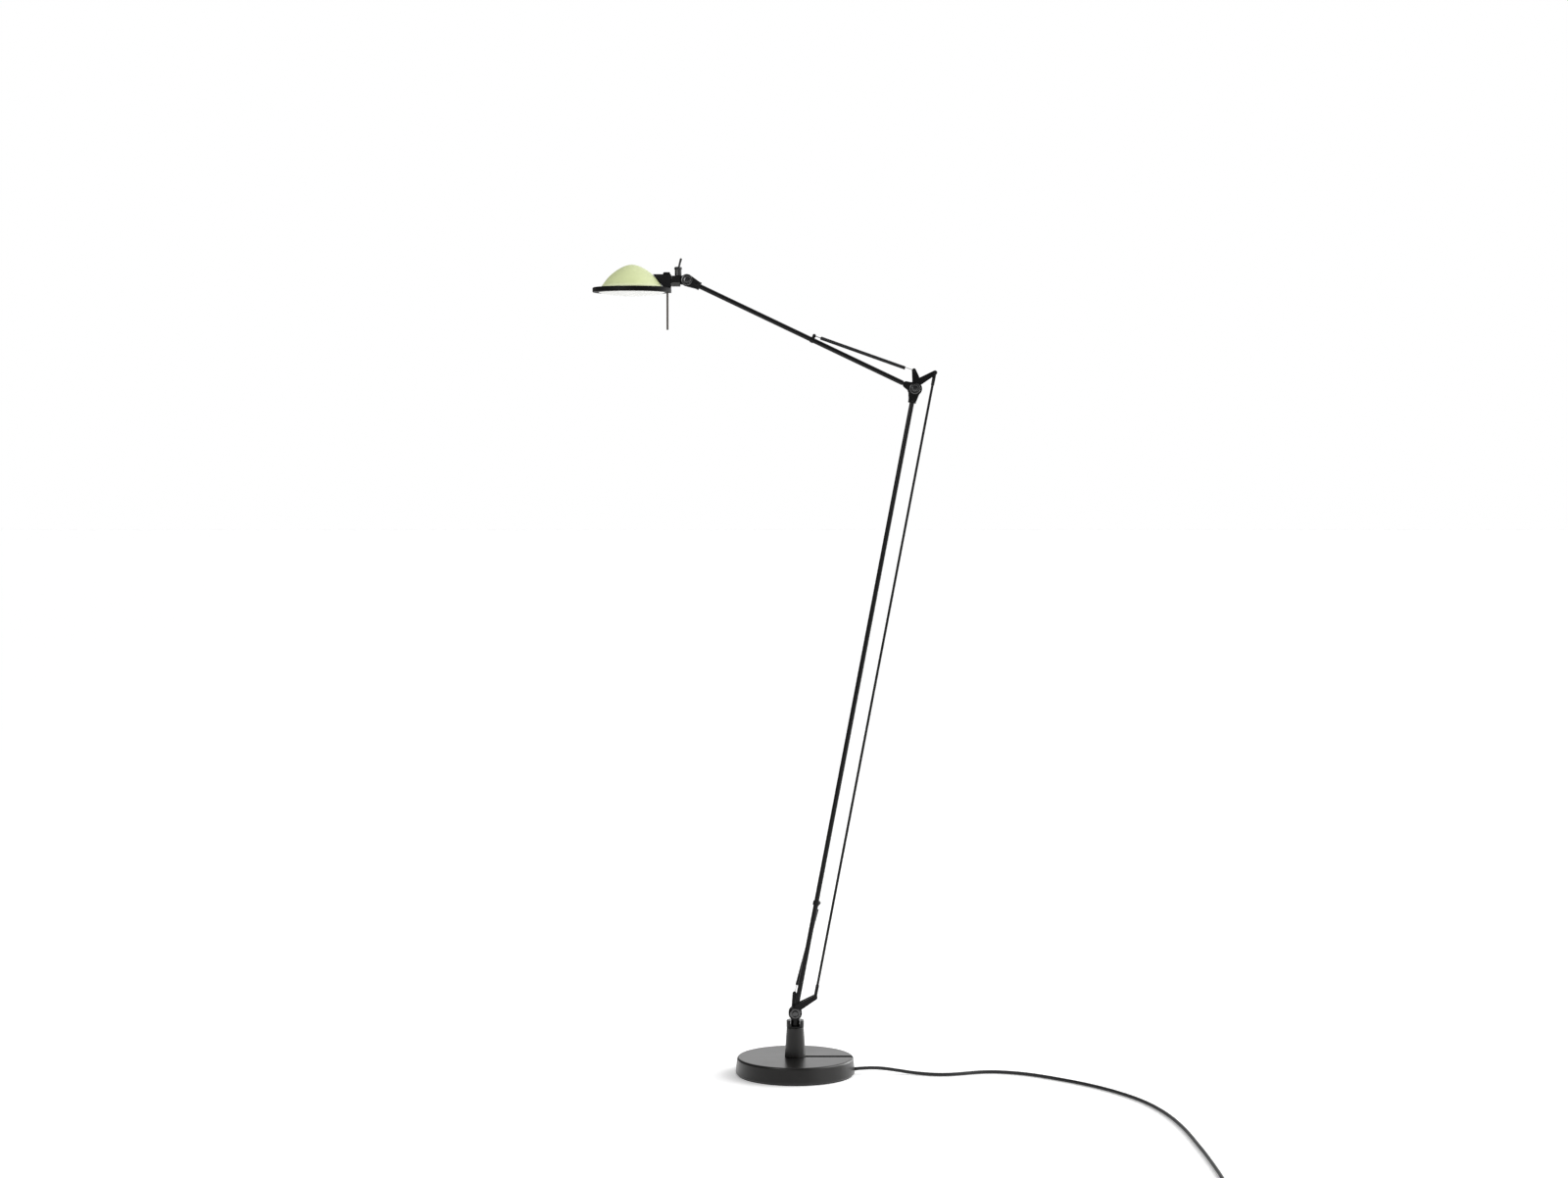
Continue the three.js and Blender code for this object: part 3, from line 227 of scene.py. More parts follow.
def slab(outline, y0, y1, edge=0.0):
    """A flat piece of any outline in X and Z, made as one face that is extruded and then bevelled."""
    bm = bmesh.new()
    face = bm.faces.new([bm.verts.new((x, y0, z)) for x, z in outline])
    made = bmesh.ops.extrude_face_region(bm, geom=[face])
    raised = [item for item in made["geom"] if isinstance(item, bmesh.types.BMVert)]
    bmesh.ops.translate(bm, verts=raised, vec=(0, y1 - y0, 0))
    if edge:
        rims = [e for e in bm.edges if abs(e.verts[0].co.y - e.verts[1].co.y) < 1e-6]
        round_edges(bm, rims, edge)
    return to_mesh(bm)


sample = link((0, 0), 22, (0, 13), 9.3, -4.8, 4.8)
print("a flat arm has", len(sample.polygons), "faces")
bpy.data.meshes.remove(sample)

# %% joining and cutting
def combine(first, others, operation):
    """Joins meshes to the first one or cuts them out of it, with one Boolean modifier each."""
    base = bpy.data.objects.new("being made", first)
    scene.collection.objects.link(base)
    tools = []
    for other in others:
        tool = bpy.data.objects.new("tool", other)
        scene.collection.objects.link(tool)
        tools.append(tool)
        modifier = base.modifiers.new("boolean", "BOOLEAN")
        modifier.operation = operation
        modifier.solver = "EXACT"
        modifier.object = tool
    graph = bpy.context.evaluated_depsgraph_get()
    result = bpy.data.meshes.new_from_object(base.evaluated_get(graph))
    for made in [base] + tools:
        mesh = made.data
        bpy.data.objects.remove(made)
        bpy.data.meshes.remove(mesh)
    return result


def union(first, *others):
    return combine(first, others, "UNION")


def cut(first, *others):
    return combine(first, others, "DIFFERENCE")


def merged(*meshes):
    """Several shells kept in one mesh, for pieces whose parts only touch or run inside each other."""
    bm = bmesh.new()
    for mesh in meshes:
        bm.from_mesh(mesh)
        bpy.data.meshes.remove(mesh)
    mesh = bpy.data.meshes.new("solid")
    bm.to_mesh(mesh)
    bm.free()
    return mesh


made_pieces = []


def piece(name, mesh, body, replaced, finish, at, sharp=32, weigh=True):
    """Hangs a finished solid on its body in place of the CAD nodes that it stands for."""
    mesh.transform(at)
    mesh.name = name
    obj = bpy.data.objects.new(name, mesh)
    scene.collection.objects.link(obj)
    mesh.materials.clear()
    mesh.materials.append(finish)
    mesh.shade_smooth()
    mesh.set_sharp_from_angle(angle=math.radians(sharp))
    if weigh:
        flat = obj.modifiers.new("weighted normals", "WEIGHTED_NORMAL")
        flat.keep_sharp = True
    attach(obj, body)
    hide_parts(*replaced)
    made_pieces.append(obj)
    return obj


# %% [markdown]
# ## Finishes
# Each finish is one Principled shader. The same small node group gives all of them their slight changes of
# colour, gloss and height, read from Object coordinates so that it stays with a piece when the lamp moves.

# %% shared variation
def linear(r, g, b):
    """A colour given as 0 to 255 screen values, as the shader wants it."""
    def one(v):
        v /= 255
        return v / 12.92 if v <= 0.04045 else ((v + 0.055) / 1.055) ** 2.4
    return (one(r), one(g), one(b), 1.0)


def variation_group():
    """Colour, roughness and height that drift a little over a surface."""
    group = bpy.data.node_groups.new("surface variation", "ShaderNodeTree")
    face = group.interface
    inputs = (("Colour", "NodeSocketColor", (0.5, 0.5, 0.5, 1)), ("Shade", "NodeSocketFloat", 0.08),
              ("Roughness", "NodeSocketFloat", 0.4), ("Spread", "NodeSocketFloat", 0.06),
              ("Cloud Size", "NodeSocketFloat", 14.0), ("Grain Size", "NodeSocketFloat", 900.0),
              ("Stretch", "NodeSocketVector", (1, 1, 1)))
    for name, kind, value in inputs:
        face.new_socket(name, in_out="INPUT", socket_type=kind).default_value = value
    outputs = (("Colour", "NodeSocketColor"), ("Roughness", "NodeSocketFloat"), ("Height", "NodeSocketFloat"))
    for name, kind in outputs:
        face.new_socket(name, in_out="OUTPUT", socket_type=kind)
    node, wire = group.nodes.new, group.links.new
    enter, leave = node("NodeGroupInput"), node("NodeGroupOutput")
    where = node("ShaderNodeTexCoord")
    stretch = node("ShaderNodeVectorMath")
    stretch.operation = "MULTIPLY"
    wire(where.outputs["Object"], stretch.inputs[0])
    wire(enter.outputs["Stretch"], stretch.inputs[1])
    cloud, grain = node("ShaderNodeTexNoise"), node("ShaderNodeTexNoise")
    for noise, size, detail in ((cloud, "Cloud Size", 3), (grain, "Grain Size", 2)):
        noise.inputs["Detail"].default_value = detail
        wire(stretch.outputs[0], noise.inputs["Vector"])
        wire(enter.outputs[size], noise.inputs["Scale"])
    drift = node("ShaderNodeMath")
    drift.operation = "SUBTRACT"
    drift.inputs[1].default_value = 0.5
    wire(cloud.outputs["Fac"], drift.inputs[0])
    gloss = node("ShaderNodeMath")
    gloss.operation = "MULTIPLY_ADD"
    wire(drift.outputs[0], gloss.inputs[0])
    wire(enter.outputs["Spread"], gloss.inputs[1])
    wire(enter.outputs["Roughness"], gloss.inputs[2])
    shade = node("ShaderNodeMath")
    shade.operation = "MULTIPLY_ADD"
    shade.inputs[2].default_value = 1.0
    wire(drift.outputs[0], shade.inputs[0])
    wire(enter.outputs["Shade"], shade.inputs[1])
    tint = node("ShaderNodeVectorMath")
    tint.operation = "SCALE"
    wire(enter.outputs["Colour"], tint.inputs[0])
    wire(shade.outputs[0], tint.inputs["Scale"])
    wire(tint.outputs[0], leave.inputs["Colour"])
    wire(gloss.outputs[0], leave.inputs["Roughness"])
    wire(grain.outputs["Fac"], leave.inputs["Height"])
    return group


VARIATION = variation_group()
BUMP_DEPTH = 0.0001
print("variation group has", len(VARIATION.nodes), "nodes")


def finish(name, slot, colour, roughness, bump=0.0, group=None, **shader):
    """A Principled finish. shader gives constants by socket name, group gives the variation's own inputs."""
    made = bpy.data.materials.new(name)
    made.use_nodes = True
    made["slot"] = slot
    tree = made.node_tree
    principled = tree.nodes["Principled BSDF"]
    vary = tree.nodes.new("ShaderNodeGroup")
    vary.node_tree = VARIATION
    vary.inputs["Colour"].default_value = colour
    vary.inputs["Roughness"].default_value = roughness
    for socket, value in (group or {}).items():
        vary.inputs[socket].default_value = value
    tree.links.new(vary.outputs["Colour"], principled.inputs["Base Color"])
    tree.links.new(vary.outputs["Roughness"], principled.inputs["Roughness"])
    if bump:
        relief = tree.nodes.new("ShaderNodeBump")
        relief.inputs["Strength"].default_value = bump
        relief.inputs["Distance"].default_value = BUMP_DEPTH
        tree.links.new(vary.outputs["Height"], relief.inputs["Height"])
        tree.links.new(relief.outputs["Normal"], principled.inputs["Normal"])
    for socket, value in shader.items():
        principled.inputs[socket.replace("_", " ")].default_value = value
    return made


# %% metal and paint
base_paint = finish("base_paint", "base_paint", linear(26, 25, 24), 0.3, 0.06,
                    group={"Spread": 0.1, "Grain Size": 700.0}, Specular_IOR_Level=0.42)
black_steel = finish("black_steel", "black_steel", linear(8, 8, 9), 0.28, 0.05, group={"Grain Size": 1200.0},
                     Specular_IOR_Level=0.24)
black_casting = finish("black_casting", "black_casting", linear(7, 7, 8), 0.32, 0.2,
                       group={"Spread": 0.12, "Grain Size": 1400.0}, Specular_IOR_Level=0.2)
black_bolt = finish("black_bolt", "black_steel", linear(16, 16, 17), 0.2, 0.05, group={"Grain Size": 1200.0},
                    Specular_IOR_Level=1.0)
ring_black = finish("ring_black", "black_steel", linear(8, 8, 8), 0.5, 0.1, group={"Grain Size": 1200.0},
                    Specular_IOR_Level=0.08)
grey_casting = finish("grey_casting", "grey_casting", linear(46, 46, 45), 0.5, 0.25, group={"Shade": 0.14})
bright_steel = finish("bright_steel", "bright_steel", linear(196, 192, 186), 0.26, 0.1, Metallic=1.0,
                      group={"Spread": 0.14, "Stretch": (1, 1, 8)})
spring_steel = finish("spring_steel", "spring_steel", linear(126, 126, 126), 0.3, 0.05, Metallic=1.0)
dark_spring = finish("dark_spring", "spring_steel", linear(46, 46, 47), 0.36, 0.05, Metallic=0.7)
handle_steel = finish("handle_steel", "bright_steel", linear(70, 64, 58), 0.45, 0.05, Metallic=0.6)

print("metal finishes:", base_paint.name, black_steel.name, spring_steel.name)

# %% glass, plastic and rubber
ceramic = finish("ceramic", "ceramic", linear(232, 229, 220), 0.3, 0.05)
bulb_glass = finish("bulb_glass", "bulb_glass", linear(245, 245, 243), 0.2, Transmission_Weight=0.5)
black_plastic = finish("black_plastic", "black_plastic", linear(26, 26, 27), 0.38, 0.2)
white_plastic = finish("white_plastic", "white_plastic", linear(230, 230, 226), 0.4, 0.1)
cord_rubber = finish("cord_rubber", "cord_rubber", linear(27, 27, 28), 0.5, 0.25,
                     group={"Grain Size": 1500.0})
pad_rubber = finish("pad_rubber", "pad_rubber", linear(22, 22, 23), 0.7, 0.4, group={"Grain Size": 1100.0})


def painted_light_glass(name, height, over, low, high, roughness, **shader):
    """A glass finish with painted light: one colour below a height on the head and another above it."""
    made = finish(name, name, high, roughness, 0.04, **shader)
    tree = made.node_tree
    vary = next(n for n in tree.nodes if n.type == "GROUP")
    where = tree.nodes.new("ShaderNodeTexCoord")
    split = tree.nodes.new("ShaderNodeSeparateXYZ")
    ramp = tree.nodes.new("ShaderNodeValToRGB")
    scale = tree.nodes.new("ShaderNodeMapRange")
    foot = (HEAD_PIVOT[2] + height) * MM
    scale.inputs["From Min"].default_value = foot
    scale.inputs["From Max"].default_value = foot + over * MM
    ramp.color_ramp.elements[0].color = low
    ramp.color_ramp.elements[1].color = high
    tree.links.new(where.outputs["Object"], split.inputs[0])
    tree.links.new(split.outputs["Z"], scale.inputs["Value"])
    tree.links.new(scale.outputs[0], ramp.inputs["Fac"])
    tree.links.new(ramp.outputs["Color"], vary.inputs["Colour"])
    return made


# The lowest few millimetres of the dome are painted lighter than the rest. This is painted light, not a
# second colour of glass.
green_glass = painted_light_glass("green_glass", -10.3, 3, linear(232, 240, 194), linear(217, 226, 172), 0.5,
                       Transmission_Weight=0.1, IOR=1.45)
white_diffuser = finish("white_diffuser", "white_diffuser", linear(222, 222, 219), 0.45, 0.04)
print("other finishes:", green_glass.name, white_diffuser.name, cord_rubber.name)

# %% [markdown]
# ## Cord
# A round rubber cord leaves the slot at the rim, dips to the floor, wanders off and ends in a tied coil and a
# plug. It is a curve of one spline with round depth, so its length is easy to measure and to change.

# %% cord route
CORD_D = 6.5
ROUTE = [
    (112.3, 0, 9.6), (128, 0, 11), (150, 0, 11.8), (172, -0.5, 10.6), (196, -2, 7.6), (221, -6, 4.6),
    (246, -14, 3.5), (270, -21.5, 3.5), (294, -21, 3.5), (318, -14, 3.5), (342, -4, 3.5), (366, 2.5, 3.5),
    (389, 2.5, 3.5), (411, -3, 3.5), (434, -12.5, 3.5), (457, -26.5, 3.5), (480, -44.5, 3.5),
    (504, -66, 3.5), (529, -90, 3.5), (556, -120, 3.5), (582, -154, 3.5), (606, -192, 3.5),
    (628, -234, 3.5), (646, -279, 3.5), (660, -327, 3.5), (671, -378, 3.5), (679, -432, 3.5),
    (685, -488, 3.5), (689, -546, 3.5), (692, -605, 3.5), (695, -665, 3.5), (697, -725, 3.5),
    (698.5, -785, 3.5), (699.2, -840, 3.5), (699.25, -885, 3.5), (699.25, -925, 3.5),
]
TAIL = [
    (645, -999.2, 10), (630, -999, 8.2), (615, -999, 5.9), (601, -999.2, 4.9), (584, -1000, 6.9),
    (566, -1000, 8),
]
COIL_X, COIL_Y = 660, -960
OUTER_R, INNER_R = 39.25, 32.75
LOW_Z, HIGH_Z = 3.5, 10.2


def ease_between(value, start, end):
    """0 before start, 1 after end, and a smooth change in between."""
    t = min(1.0, max(0.0, (value - start) / (end - start)))
    return t * t * (3 - 2 * t)


def coil_points(step):
    """Three and a quarter turns: outside low, inside low, then inside high and outside high."""
    points = []
    for progress in range(0, 3 * 360 + 90 + 1, step):
        inward = ease_between(progress, 275, 355)
        climb = ease_between(progress, 360 + 190, 360 + 285)
        outward = ease_between(progress, 720 + 105, 720 + 195)
        r = OUTER_R + (INNER_R - OUTER_R) * (inward - outward)
        z = LOW_Z + (HIGH_Z - LOW_Z) * climb
        turn = -math.radians(progress)
        points.append((COIL_X + r * math.cos(turn), COIL_Y + r * math.sin(turn), z))
    return points


def tube_curve(name, points, diameter, finish_used):
    """A curve of one open spline through the points, with round depth."""
    data = bpy.data.curves.new(name, "CURVE")
    data.dimensions = "3D"
    data.bevel_depth = diameter / 2 * MM
    data.bevel_resolution = 5
    data.use_fill_caps = True
    data.resolution_u = 6
    spline = data.splines.new("BEZIER")
    spline.bezier_points.add(len(points) - 1)
    for knot, p in zip(spline.bezier_points, points):
        knot.co = Vector(p) * MM
        knot.handle_left_type = knot.handle_right_type = "AUTO"
    data.materials.append(finish_used)
    obj = bpy.data.objects.new(name, data)
    scene.collection.objects.link(obj)
    return obj


route = ROUTE + coil_points(18) + TAIL
cord = tube_curve("cord", route, CORD_D, cord_rubber)
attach(cord, "base")
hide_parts("cord_run", "cord_coil", "cord_tail")

# %% [markdown]
# Inside the base the same cord lies in the slot and turns up through the post. A strap holds the coil, and
# the plug has a ribbed, tapering sleeve where the cord goes in.

# %% inner cord, strap and plug
INNER_ROUTE = [
    (0, 0, 58), (0, 0, 46), (0, 0, 36), (3, 0, 24), (10, 0, 15), (20, 0, 11.1), (34, 0, 9.6), (60, 0, 9.6),
    (90, 0, 9.6), (112, 0, 9.6),
]
inner_cord = tube_curve("cord_inside", INNER_ROUTE, CORD_D, cord_rubber)
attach(inner_cord, "base")
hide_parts("cord_inner")

COIL_SIDE = COIL_Y + (OUTER_R + INNER_R) / 2
strap_in = COIL_SIDE - CORD_D - 3
strap_out = COIL_SIDE + CORD_D + 3.5
strap = cut(box(COIL_X - 4, COIL_X + 4, strap_in, strap_out, 0.05, 16, 1.2),
            box(COIL_X - 5, COIL_X + 5, strap_in + 1.6, strap_out - 1.6, -1, 14.3, 1.0))
piece("coil_strap", strap, "base", ["coil_tie"], black_plastic, place())

PLUG_X, PLUG_Y, PLUG_Z = 565.7, -1000, 8
SLEEVE_L, PLUG_L = 26, 70
sleeve_outline = [(0, 1), (5.5, 1)]
for rib in range(5):
    s = 3 + rib * 4.6
    r = 5.4 - rib * 0.28
    sleeve_outline += [(r, s), (r, s + 2.6), (r - 0.9, s + 2.9), (r - 0.9, s + 4.2)]
sleeve_outline += [(0, 25.6)]
sleeve = turned(eased(sleeve_outline, 0.25, 2), 40, (PLUG_X - SLEEVE_L, PLUG_Y, PLUG_Z), "X")
front = PLUG_X - PLUG_L
back = PLUG_X - SLEEVE_L
half = 13.5
plan = [(back, -half + 4), (back, half - 4), (PLUG_X - 38, half), (front, half), (front, -half),
        (PLUG_X - 38, -half)]
shell = slab(eased(plan, 2.5, 3, True), -7.5, 7.5, 1.0)
shell.transform(Matrix.Translation((0, PLUG_Y, PLUG_Z)) @ Matrix.Rotation(math.pi / 2, 4, "X"))
blades = [box(front - 17, front + 2, PLUG_Y + side * 6.35 - 0.8, PLUG_Y + side * 6.35 + 0.8, PLUG_Z - 3.15,
              PLUG_Z + 3.15, 0.4) for side in (-1, 1)]
piece("plug_body", merged(shell, sleeve), "base", ["plug"], cord_rubber, place())
piece("plug_blades", merged(*blades), "base", ["plug"], bright_steel, place())
print("strap, plug and inner cord made")

# %% [markdown]
# ## Base
# A cast disc painted dark grey, with a slot across its top for the cord, on a thin rubber pad. The post is a
# short cone. Its edges and the slot's edges are softened.

# %% disc, pad and post
SLOT_HALF = 7
disc_outline = [(0, 2), (112.5, 2), (115, 4.5), (112, 31.5), (109.5, DISC_TOP), (0, DISC_TOP)]
disc_outline = eased(disc_outline, [0, 1.2, 1.6, 1.6, 1.6, 0], 5)
disc = cut(turned(disc_outline, 160), box(0, 120, -SLOT_HALF, SLOT_HALF, 6, 40), bar(24.6, 0, 40, edge=0),
           bar(36, 0, 8.3, edge=0))
bm = bmesh.new()
bm.from_mesh(disc)
lips = [e for e in bm.edges
        if all(abs(abs(v.co.y) - SLOT_HALF) < 0.01 and abs(v.co.z - DISC_TOP) < 0.01 for v in e.verts)]
round_edges(bm, lips, 0.7)
bm.to_mesh(disc)
bm.free()
piece("base_disc_fine", disc, "base", ["base_disc"], base_paint, place())
piece("base_pad_fine", bar(222, 0, 1.7, edge=0.4, sides=120), "base", ["base_pad"], pad_rubber, place())

post_outline = [(0, 2.3), (12, 2.3), (12, 34.3), (20.15, 34.3), (16.5, POST_TOP), (0, POST_TOP)]
post = turned(eased(post_outline, [0, 0.3, 0, 0.5, 1.1, 0], 5), 96)
post = cut(post, bar(14, 0, 92, edge=0), bar(20, 80.7, 92, edge=0), box(0, 40, -4.25, 4.25, 0, 34))
piece("post_fine", post, "base", ["post"], base_paint, place())
print("disc", len(disc.polygons), "faces, post", len(post.polygons), "faces")

# %% [markdown]
# ## Turret
# A collar turns on the post. It is a shallow cup, open at the front and the back, and the yoke's round stem
# rises out of it. The yoke has two cheeks with a horn each for the parallel rod, and one upright horn with a
# stud for the spring. The outer face of a rod's horn has a shallow field let in, as a casting often has.

# %% collar
COLLAR_R = 16.85
hollow_r = COLLAR_R - 7
cup = [(0, 91.3), (COLLAR_R, 91.3), (COLLAR_R, 105), (hollow_r, 105), (hollow_r, 94.3), (0, 94.3)]
cup = turned(eased(cup, [0, 0.8, 1.1, 0.5, 0.5, 0], 4), 96)
cup = cut(cup, box(-9.1, 9.1, -20, 20, 94.3, 110), bar(12.6, 85, 110, edge=0))
piece("collar_fine", cup, "turret", ["collar"], black_casting, place())
print("collar made")


# %% cheeks
def cheek(disc_d, y0, y1):
    """One cheek: a disc and a tapering horn, with a shallow field let into the horn's outer face."""
    root = (7, 12.3)
    share = [tuple(root[i] + s * (ROD_PIN[i] - root[i]) for i in (0, 1)) for s in (0.42, 0.8)]
    body = union(link((0, 0), disc_d, (0, 0.01), disc_d, y0, y1, 0.5, 64),
                 link(root, 14, ROD_PIN, 8.6, y0, y1, 0.5))
    out0, out1 = (y0 - 1, y0 + 0.8) if y0 < 0 else (y1 - 0.8, y1 + 1)
    field = link(share[0], 6.4, share[1], 4.2, out0, out1, 0)
    return cut(body, field, pin_hole(*ROD_PIN, y0 - 1, y1 + 1))


def spring_horn(y0, y1, root, root_d, rise):
    """An upright horn that takes the spring's pin."""
    return link(root, root_d, (SPRING_PIN[0], SPRING_PIN[1] + rise), 7.6, y0, y1, 0.5)


YOKE_IN, YOKE_OUT = 5.1, 8.6
seat = 94.6 - BASE_PIVOT[2]
stem = turned(eased([(0, seat), (8.8, seat), (8.8, -4), (0, -4)], [0, 0.6, 0, 0], 4), 64)
throat = box(-20, 20, -YOKE_IN, YOKE_IN, -12, 30)
stem = cut(stem, throat)
spindle = cut(bar(12, -47.7, seat + 0.5, edge=0.5), pipe(16, 10, -44.7, -42.9, edge=0))
yoke = union(stem, cheek(26, -YOKE_OUT, -YOKE_IN), cheek(26, YOKE_IN, YOKE_OUT),
             spring_horn(YOKE_IN, YOKE_OUT, (-1, 12), 12, 1.6), spindle)
yoke = cut(yoke, bar(6, -50, -10, edge=0, sides=24), bolt_hole(), pin_hole(*SPRING_PIN, 0, 20))
piece("turret_yoke_fine", yoke, "turret", ["turret_yoke"], black_casting, place(BASE_PIVOT))
print("yoke", len(yoke.polygons), "faces")

# %% [markdown]
# ## Pivots
# Each pivot is a bolt whose low domed head sits in a cup washer. Behind is a round cap nut of bright steel.
# The bolt's head has a hexagon socket, and the rim of the cup is rounded.

# %% pivot hardware
CUP_D, CUP_T = 21.0, 2.8


def pivot(name, body, at, outer):
    """Bolt, cup washer and cap nut for a hinge whose outer cheeks end at plus and minus outer."""
    face = outer + 0.3
    head_in = face + 1.2
    rim = face + CUP_T
    head = [(0, head_in), (5.6, head_in), (5.6, head_in + 0.7), (4.2, head_in + 1.15), (0, head_in + 1.25)]
    head = turned(eased(head, [0, 0.2, 0.4, 0.8, 0], 4), 48)
    socket = turned([(0, head_in + 0.35), (1.9, head_in + 0.35), (1.9, head_in + 3), (0, head_in + 3)], 6)
    shank = bar(6, -face, head_in + 0.1, edge=0.3)
    flip = Matrix.Rotation(math.pi / 2, 4, "X")
    bolt = cut(union(head, shank), socket)
    r = CUP_D / 2
    washer = [(3.3, face), (r, face), (r, rim - 0.6), (r - 1.2, rim), (6.6, rim), (5.95, rim - 0.7),
              (5.95, head_in - 0.3), (3.3, head_in - 0.3)]
    washer = turned(eased(washer, [0.2, 0.4, 0.8, 0.8, 0.5, 0.4, 0.2, 0.2], 4, True), 72, closed=True)
    nut = [(0, -face - 1.2), (3.3, -face - 1.2), (3.3, -face), (r - 0.5, -face), (r - 0.5, -face - 1.6),
           (r - 2, -rim), (0, -rim)]
    nut = turned(eased(nut, [0, 0.1, 0.1, 0.3, 0.8, 1.4, 0], 4), 72)
    for mesh in (bolt, washer, nut):
        mesh.transform(flip)
    piece(f"{name}_bolt_fine", bolt, body, [f"{name}_bolt"], black_bolt, place(at))
    piece(f"{name}_cup_washer_fine", washer, body, [f"{name}_cup_washer"], black_bolt, place(at))
    piece(f"{name}_cap_nut_fine", nut, body, [f"{name}_cap_nut"], bright_steel, place(at))


def rivet(name, body, at, outer, x, z):
    """A rivet through two cheeks, with a low round head on both sides."""
    face = outer + 0.3
    outline = [(0, -face - 1.4), (2.6, -face - 1.25), (3.5, -face - 0.6), (3.5, -face), (1.5, -face),
               (1.5, face), (3.5, face), (3.5, face + 0.6), (2.6, face + 1.25), (0, face + 1.4)]
    mesh = turned(eased(outline, 0.35, 3), 32, (x, 0, z), "Y")
    piece(f"{name}_fine", mesh, body, [name], black_steel, place(at))


pivot("base_pivot", "turret", BASE_PIVOT, YOKE_OUT)
rivet("lower_rod_rivet", "turret", BASE_PIVOT, YOKE_OUT, *ROD_PIN)

SPRING_Y = 12.9
LOOP_NEAR, LOOP_FAR = SPRING_Y - 1.8, SPRING_Y + 1.8
stud = [(0, 5.3), (1.5, 5.3), (1.5, 8.9), (3.5, 8.9), (3.5, LOOP_NEAR), (1.5, LOOP_NEAR), (1.5, LOOP_FAR),
        (3.5, LOOP_FAR), (3.5, SPRING_Y + 3.1), (0, SPRING_Y + 3.2)]
stud = turned(eased(stud, 0.25, 3), 32, (SPRING_PIN[0], 0, SPRING_PIN[1]), "Y")
piece("lower_spring_stud_fine", stud, "turret", ["lower_spring_stud"], black_steel, place(BASE_PIVOT))
print("base pivot made")

# %% [markdown]
# ## Arms
# Each arm is a thin black tube. A flat tongue is plugged into its lower end and turns between two cheeks, and
# a ferrule with a fork is screwed over its upper end.

# %% arm parts
TUBE_D = 9.3
FERRULE_BACK, SCREW_BACK = 28, 23          # from a fork's pivot to its ferrule's end and to its screw
LOWER_FORK_OUT, UPPER_FORK_OUT = 9.5, 7.5


def foot(tongue_t, tube_start, end_d):
    """The tongue, tapering to the tube, and its spigot inside the tube."""
    half_t = tongue_t / 2
    tongue = link((0, 0), 22, (0, tube_start - end_d / 2 - 0.3), end_d, -half_t, half_t, 0.6, 56)
    spigot = bar(7.1, tube_start - 6, tube_start + 22, sides=24)
    return cut(union(tongue, spigot), bolt_hole())


def arm_tube(start, end, hole):
    """A tube with a hole across its upper end for the screw."""
    return cut(pipe(TUBE_D, TUBE_D - 1.6, start, end, 0.2), pin_hole(0, hole))


def fork(length, disc_d, inner, outer, hole):
    """A ferrule on the tube's end and two cheeks round the pivot."""
    ferrule_end = length - FERRULE_BACK
    web_top = length - disc_d / 2 - 4.5
    ferrule = turned(eased([(0, ferrule_end), (7.9, ferrule_end), (7.9, web_top - 1), (0, web_top - 1)],
                           [0, 1.2, 0, 0], 4), 56)
    sides = link((0, length), disc_d, (0, web_top - 3.4), 16, -outer, outer, 0.5, 56)
    body = union(ferrule, sides)
    return cut(body, box(-disc_d, disc_d, -inner, inner, web_top, length + disc_d),
               bar(TUBE_D + 0.6, ferrule_end - 1, web_top - 3, edge=0), pin_hole(0, hole), bolt_hole(length))


def screw(half_l, s):
    """A round headed screw with a slot across it."""
    shank = bar(3, -half_l, half_l, (0, 0, s), "Y", 0.2, 24)
    head = turned(eased([(0, 0), (2.5, 0), (2.5, 0.5), (1.6, 1.2), (0, 1.3)], [0, 0.1, 0.3, 0.5, 0], 3), 32)
    head.transform(Matrix.Translation((0, -half_l, s)) @ Matrix.Rotation(math.pi / 2, 4, "X"))
    notch = box(-3, 3, -half_l - 2, -half_l - 0.75, s - 0.3, s + 0.3)
    return cut(union(head, shank), notch)


# %% lower arm
lower_place = place(BASE_PIVOT, LOWER_LEAN)
piece("lower_foot_fine", foot(9.6, 17.5, TUBE_D), "lower_arm", ["lower_foot"], black_steel, lower_place)
head_hole = LOWER_L - SCREW_BACK
piece("lower_tube_fine", arm_tube(17.5, LOWER_L - 19.8, head_hole), "lower_arm", ["lower_tube"], black_steel,
      lower_place)
piece("lower_head_fine", fork(LOWER_L, 24, 6.9, LOWER_FORK_OUT, head_hole), "lower_arm", ["lower_head"],
      black_casting, lower_place)
piece("lower_head_screw_fine", screw(9.8, head_hole), "lower_arm", ["lower_head_screw"], black_steel,
      lower_place)
print("lower arm made")

# %% clips for the springs
ANCHOR_S = 216
LOWER_ANCHOR_X, UPPER_ANCHOR_X = 5.5, 8.8
lower_band = pipe(TUBE_D + 3.8, TUBE_D + 0.6, ANCHOR_S - 4, ANCHOR_S + 4, 0.4)
clip_stud = [(0, 5.2), (3.2, 5.2), (3.2, LOOP_NEAR), (1.5, LOOP_NEAR), (1.5, LOOP_FAR), (3.2, LOOP_FAR),
             (3.2, LOOP_FAR + 1.2), (0, LOOP_FAR + 1.3)]
clip_stud = turned(eased(clip_stud, 0.25, 3), 32, (LOWER_ANCHOR_X, 0, ANCHOR_S), "Y")
clip_stud = cut(clip_stud, bar(TUBE_D + 0.6, ANCHOR_S - 8, ANCHOR_S + 8, edge=0))
piece("lower_spring_clip_fine", union(lower_band, clip_stud), "lower_arm", ["lower_spring_clip"], black_steel,
      lower_place)

